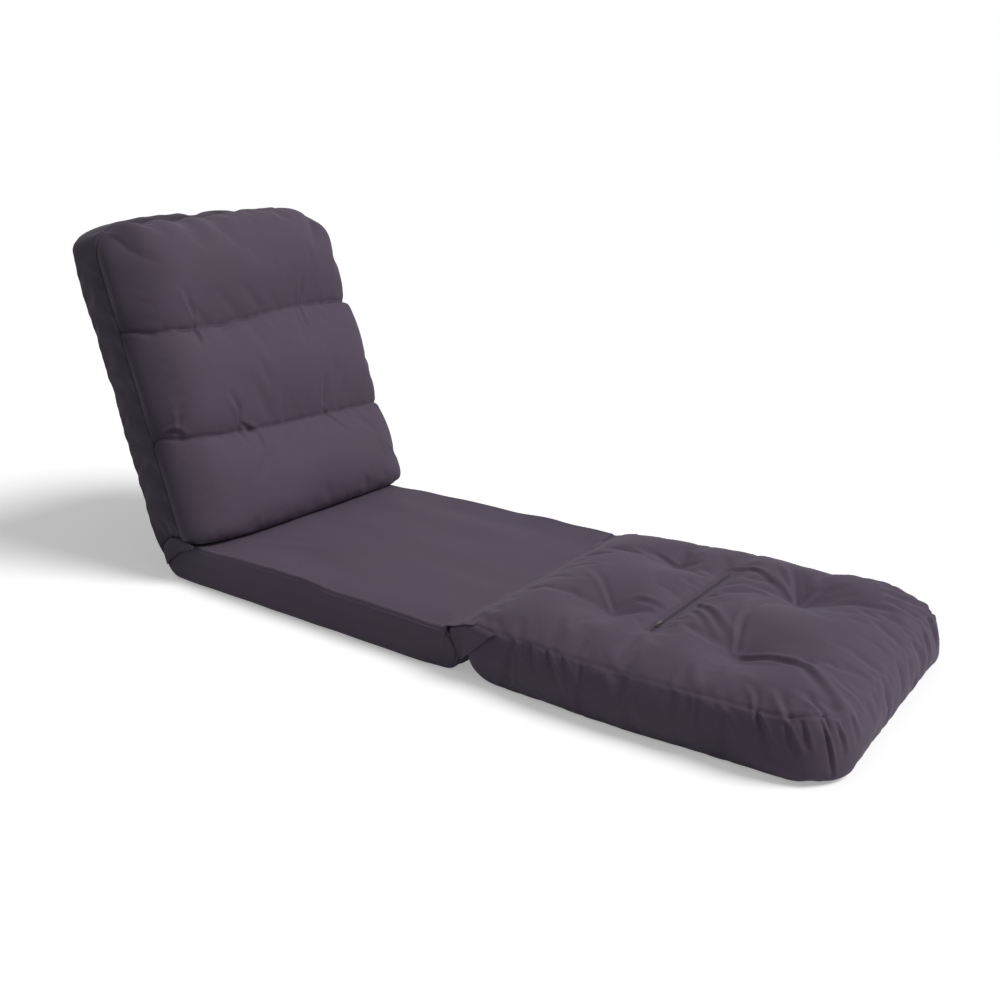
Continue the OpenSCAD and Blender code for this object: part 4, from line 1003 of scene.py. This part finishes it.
def filling(name, low, high, radius, node, body, material, place=None):
    """A slab between two corners whose edges follow arcs of the radius: inset falls as a circle's side."""
    low, high = np.array(low, float), np.array(high, float)
    mid, half = (low + high) / 2, (high - low) / 2
    net = pillow_grid(np.linspace(-1, 1, 31), np.linspace(-1, 1, 31), 8)
    way = np.where(net["flat"] == 0, 0, np.where(net["flat"] == 2, 1, net["ring"]))
    r = min(radius, half[2])
    turn = np.interp(way, [0, 0.4, 0.6, 1], [0, np.pi / 2, np.pi / 2, np.pi])
    inset = r * (1 - np.sin(turn)) * 0.95
    up = np.where(way < 0.5, half[2] - r + r * np.cos(turn), -(half[2] - r) + r * np.cos(turn))
    across, deep = half[0] - inset, half[1] - inset
    x, y = round_corners(net["u"] * across, net["v"] * deep, across, deep, radius + 12.0)
    wave = 1.2 * ripples(np.stack([x, y], axis=-1), 120, len(name))
    points = np.stack([x, y, up + wave * (net["flat"] == 0)], axis=-1) + mid
    world = points if place is None else place(points[:, 0], points[:, 1], points[:, 2])
    piece = make_piece(name, world, net["quads"], cloth_places(net, points, 2), material)
    smooth_once(piece)
    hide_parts(node)
    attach(piece, body)


filling("seat_foam_slab", (-258, -332, 5), (258, 372, 73), 30, "seat_foam", "seat", foam_look)
filling("back_foam_slab", (-262, 46, -36), (262, 672, 34), 22, "back_foam", "back", foam_look,
        on_back)
chambers = [("lower", 40, 212, 94), ("middle", 248, 436, 94), ("upper", 474, 634, 84)]
for part, start, end, front in chambers:
    filling("fibre_" + part, (-240, start, 44), (240, end, front), 26, "back_fill_" + part, "back",
            fibre_look, on_back)
filling("foot_fibre", (-240, -950, 14), (240, -405, 78), 30, "foot_core", "foot", fibre_look)

# Zip: a dyed nylon tape under a closed coil of interlocked loops, let in across the cushion's middle between
# two rolled and topstitched lips of the cover cloth. A small cast slider with a pull tab runs on the coil.
tape_level, lip_level = 105.9, 107.8
tape_cloth = woven_cloth("zip_tape_cloth", 1.0)
tape_path = along([[zip_y - 8, tape_level], [zip_y + 8, tape_level]], 13)
zip_tape = strip_piece("zip_tape_woven", tape_path, np.linspace(-149, 149, 120), 0.7, tape_cloth)
close_seams(zip_tape)
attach(zip_tape, "foot")


def tubes(name, paths, radius, sides, material):
    """Closed tubes along many like paths, tubes by points by 3, with each ring square to its path."""
    step = np.gradient(paths, axis=1)
    step /= np.linalg.norm(step, axis=2)[..., None]
    first = np.cross(step, np.where(np.abs(step[..., 2:]) > 0.8, [1.0, 0, 0], [0, 0, 1.0]))
    first /= np.linalg.norm(first, axis=2)[..., None]
    second = np.cross(step, first)
    turn = np.arange(sides) * 2 * np.pi / sides
    count, rows = paths.shape[:2]
    wide = radius * np.where((np.arange(rows) == 0) | (np.arange(rows) == rows - 1), 0.6, 1.0)
    around = first[:, :, None] * np.cos(turn)[:, None] + second[:, :, None] * np.sin(turn)[:, None]
    points = paths[:, :, None] + around * wide[:, None, None]
    net = np.arange(points[..., 0].size).reshape(count, rows, sides)
    ahead = np.roll(net, -1, axis=2)
    walls = np.stack([net[:, :-1], ahead[:, :-1], ahead[:, 1:], net[:, 1:]], axis=-1).reshape(-1, 4)
    ends = []
    for row, order in ((0, -1), (-1, 1)):
        ring = net[:, row, ::order]
        ends += [np.stack([ring[:, 0], ring[:, k], ring[:, k + 1], ring[:, k + 2]], axis=-1)
                 for k in range(1, sides - 2, 2)]
    quads = np.vstack([walls, *ends])
    flat = points.reshape(-1, 3)
    piece = make_piece(name, flat, quads, flat[quads][..., :2].reshape(-1, 2), material)
    close_seams(piece)
    return piece


coil_nylon = bpy.data.materials.new("coil_nylon")
add = node_tree(coil_nylon)
where = add("ShaderNodeTexCoord").outputs["Object"]
mottle = add("ShaderNodeTexNoise", in_Vector=where, in_Scale=900.0, in_Detail=2.0)
tone = two_tone(add, mottle.outputs["Fac"], (0.072, 0.056, 0.080), (0.096, 0.075, 0.106))
skin(add, in_Base_Color=tone, in_Roughness=0.42)
loops = np.arange(-146, 146.1, 1.5)
loop_shape = np.array([[2.05, 106.1], [1.95, 106.8], [1.2, 107.15], [0.4, 107.05], [-0.35, 106.7]])
loop_paths = []
for half_row in (-1, 1):
    shape = np.stack([np.zeros(5), half_row * loop_shape[:, 0] + zip_y, loop_shape[:, 1]], axis=-1)
    loop_paths.append(shape[None] + (loops + 0.375 * half_row)[:, None, None] * [1.0, 0, 0])
coil = tubes("zip_coil", np.concatenate(loop_paths), 0.34, 6, coil_nylon)
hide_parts("zip_tape")
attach(coil, "foot")

on_top = foot_top[(np.abs(foot_top[:, 1] - zip_y) < 40) & (np.abs(foot_top[:, 0]) < 180)
                  & (foot_top[:, 2] > 90)]
top_tree = kdtree.KDTree(len(on_top))
for number, spot in enumerate(on_top):
    top_tree.insert((spot[0], spot[1], 0), number)
top_tree.balance()


def zip_lip(side):
    """One lip: the cover cloth rolled under beside the coil, then down to the cushion's own top as a smooth
    step of the distance from the coil, and closed in at both ends."""
    shape = along([[4.8, 106.0], [3.7, 106.2], [3.4, 106.9], [4.1, 107.5], [6.2, lip_level],
                   [18, lip_level]], 26)
    path = np.stack([zip_y + side * shape[:, 0], shape[:, 1]], axis=-1)
    lip = strip_piece("zip_lip_near" if side < 0 else "zip_lip_far", path[::-1] if side < 0 else path,
                      np.linspace(-155, 155, 140), 0.8, cover_cloth)
    points, normals = read_points(lip)
    off = np.abs(points[:, 1] - zip_y)
    below = np.array([np.mean([on_top[found[1], 2] for found in top_tree.find_n((spot[0], spot[1], 0), 4)])
                      for spot in points])
    down = np.clip((off - 6.4) / 10, 0, 1)
    down = down * down * (3 - 2 * down)
    rest = below + 0.5 - 1.5 * np.clip((off - 13) / 4, 0, 1) + (points[:, 2] - lip_level)
    points[:, 2] = points[:, 2] * (1 - down) + rest * down
    points[:, 2] += 0.35 * ripples(points[:, :2], 30, 50 + side) * np.clip((off - 5.5) / 6, 0, 1)
    shut = np.clip((np.abs(points[:, 0]) - 140) / 13, 0, 1) ** 1.5
    points[:, 1] -= side * 2.9 * shut * np.exp(-((off - 3.4) / 9) ** 2)
    points[:, 2] -= 1.6 * shut * np.exp(-((off - 6) / 9) ** 2)
    write_points(lip, points)
    close_seams(lip)
    smooth_once(lip)
    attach(lip, "foot")


zip_lip(-1)
zip_lip(1)

slider_metal = bpy.data.materials.new("smoked_nickel")
add = node_tree(slider_metal)
where = add("ShaderNodeTexCoord").outputs["Object"]
rub = add("ShaderNodeTexNoise", in_Vector=where, in_Scale=500.0, in_Detail=4.0, in_Roughness=0.7)
tone = two_tone(add, rub.outputs["Fac"], (0.085, 0.080, 0.088), (0.140, 0.133, 0.142))
rough = add("ShaderNodeMapRange", in_Value=rub.outputs["Fac"], in_To_Min=0.32, in_To_Max=0.50)
skin(add, in_Metallic=1.0, in_Base_Color=tone, in_Roughness=rough.outputs[0])


def round_edges(piece, width):
    """Closes the mesh and gives each sharp edge a rounding of two facets, of a width in metres."""
    close_seams(piece)
    rounding = piece.modifiers.new("rounding", "BEVEL")
    rounding.width, rounding.segments, rounding.limit_method = width, 2, "ANGLE"


body_x = np.linspace(-128.4, -117.6, 15)
body_w = np.interp(body_x, [-128.4, -126.8, -122, -119, -117.6], [2.6, 2.95, 3.0, 2.85, 2.6])
rim = np.array([[-1, 106.3], [-1, 108.6], [-0.85, 109.1], [0.85, 109.1], [1, 108.6], [1, 106.3],
                [0.85, 106.3], [0.85, 107.9], [-0.85, 107.9], [-0.85, 106.3]])
body_points = np.stack([np.broadcast_to(body_x[:, None], (15, 10)), zip_y + body_w[:, None] * rim[:, 0],
                        np.broadcast_to(rim[:, 1], (15, 10))], axis=-1)
body_net = np.arange(150).reshape(15, 10)
end_faces = [[0, 1, 8, 9], [1, 2, 3, 8], [8, 3, 4, 7], [7, 4, 5, 6]]
caps = np.vstack([body_net[0][np.array(end_faces)[:, ::-1]], body_net[-1][np.array(end_faces)]])
body_quads = np.vstack([grid_quads(15, 10, wrap=True), caps])
body_flat = body_points.reshape(-1, 3)
slider_body = make_piece("slider_body", body_flat, body_quads, body_flat[body_quads][..., :2].reshape(-1, 2),
                         slider_metal)
round_edges(slider_body, 0.00025)
arch = np.array([[-127.6, 108.9], [-127.6, 110.4], [-127.1, 111.3], [-126.0, 111.55], [-124.6, 111.55],
                 [-123.6, 111.2], [-123.3, 110.3], [-123.3, 108.9]])
arch = along(arch, 22)
arch_path = np.stack([arch[:, 0], np.full(22, zip_y), arch[:, 1]], axis=-1)
slider_arch = tubes("slider_bridge", arch_path[None], 0.5, 10, slider_metal)
turn = np.linspace(0, 2 * np.pi, 48, endpoint=False)
tab_out = np.stack([np.clip(-117.7 + 10.4 * np.cos(turn) * 1.15, -126.9, -108.6),
                    np.sin(turn) * np.interp(np.cos(turn), [-1, 0, 1], [1.8, 2.4, 2.1])], axis=-1)
tab_hole = np.stack([-123.6 + 1.7 * np.cos(turn), 1.2 * np.sin(turn)], axis=-1)
tab_rings = [tab_hole, tab_hole, tab_out, tab_out]
tab_z = [110.85, 109.75, 109.75, 110.85]
tab_points = np.stack([np.column_stack([ring[:, 0], zip_y + ring[:, 1], np.full(48, z)])
                       for ring, z in zip(tab_rings, tab_z)])
tab_quads = grid_quads(5, 48, wrap=True) % (4 * 48)
tab_flat = tab_points.reshape(-1, 3)
slider_tab = make_piece("slider_pull_tab", tab_flat, tab_quads, tab_flat[tab_quads][..., :2].reshape(-1, 2),
                        slider_metal)
round_edges(slider_tab, 0.0002)
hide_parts("zip_slider")
for piece in (slider_body, slider_arch, slider_tab):
    close_seams(piece)
    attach(piece, "slider")

# Sewing thread: lockstitches of spun polyester, sewn by machine through all layers along the quilt's two
# cross seams and along both lips of the zip.
thread_look = woven_cloth("sewing_thread", 1.25)


def stitching(name, row, pitch, share, radius, lift, body):
    """A row of stitches: the line is cut into equal lengths, and over a share of each one a thread rises
    from the cloth and dips back, as a half sine."""
    length = np.sum(np.linalg.norm(np.diff(row, axis=0), axis=1))
    count = int(length / pitch)
    fine = along(row, count * 12 + 1)
    starts = np.arange(count) * 12
    k = np.linspace(0, 12 * share, 6)
    at = starts[:, None] + k[None]
    low = np.floor(at).astype(int)
    paths = fine[low] + (fine[np.minimum(low + 1, len(fine) - 1)] - fine[low]) * (at - low)[..., None]
    paths = paths + np.sin(np.pi * np.linspace(0, 1, 6))[None, :, None] * np.asarray(lift)
    piece = tubes(name, paths, radius, 6, thread_look)
    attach(piece, body)


for number, row in enumerate(seam_rows):
    inner = row[np.abs(row[:, 0]) < 268] + back_ahead * -3.4
    stitching(f"quilt_stitches_{number + 1}", inner, 4.2, 0.8, 0.32, back_ahead * 0.5, "back")
for side in (-1, 1):
    line = np.array([[-148.0, zip_y + side * 7.4, 107.75], [148.0, zip_y + side * 7.4, 107.75]])
    stitching("zip_stitches_near" if side < 0 else "zip_stitches_far", line, 3.6, 0.8, 0.28, (0, 0, 0.35),
              "foot")

# Steel of the frames and hinges. The bent tubes and their cross bars are powder-coated black, with a fine
# orange peel and rubbed edges. Gear plates, housings, pawls, springs and rivets are zinc-plated steel.
frame_coat = bpy.data.materials.new("black_powder_coat")
add = node_tree(frame_coat)
where = add("ShaderNodeTexCoord").outputs["Object"]
peel = add("ShaderNodeTexNoise", in_Vector=where, in_Scale=850.0, in_Detail=2.0)
dust = add("ShaderNodeTexNoise", in_Vector=where, in_Scale=22.0, in_Detail=5.0, in_Roughness=0.65)
tone = two_tone(add, dust.outputs["Fac"], (0.020, 0.020, 0.022), (0.040, 0.039, 0.041))
worn = wear_and_highlight_edges(add, tone, (0.16, 0.16, 0.165), 0.53, 0.62, 0.5)
rough = add("ShaderNodeMapRange", in_Value=dust.outputs["Fac"], in_To_Min=0.38, in_To_Max=0.58)
raised = add("ShaderNodeBump", in_Strength=0.12, in_Distance=0.0002, in_Height=peel.outputs["Fac"])
skin(add, in_Base_Color=worn, in_Roughness=rough.outputs[0], in_Normal=raised.outputs[0])

zinc_plate = bpy.data.materials.new("zinc_plated_steel")
add = node_tree(zinc_plate)
where = add("ShaderNodeTexCoord").outputs["Object"]
drawn = add("ShaderNodeMapping", in_Vector=where, in_Scale=(1.0, 0.06, 1.0))
lines = add("ShaderNodeTexNoise", in_Vector=drawn.outputs[0], in_Scale=1600.0, in_Detail=3.0,
            in_Roughness=0.6)
bloom = add("ShaderNodeTexVoronoi", in_Vector=where, in_Scale=160.0)
tone = two_tone(add, bloom.outputs["Distance"], (0.50, 0.51, 0.53), (0.62, 0.62, 0.61))
rough = add("ShaderNodeMapRange", in_Value=lines.outputs["Fac"], in_To_Min=0.28, in_To_Max=0.50)
raised = add("ShaderNodeBump", in_Strength=0.08, in_Distance=0.0001, in_Height=lines.outputs["Fac"])
skin(add, in_Metallic=1.0, in_Base_Color=tone, in_Roughness=rough.outputs[0], in_Normal=raised.outputs[0])
steel_looks = {"frame_paint": frame_coat, "zinc_steel": zinc_plate}
for row in frame["record"]["subparts"]:
    if row["material_slot"] in steel_looks:
        for place in frame["nodes"][row["node"]].material_slots:
            place.material = steel_looks[row["material_slot"]]
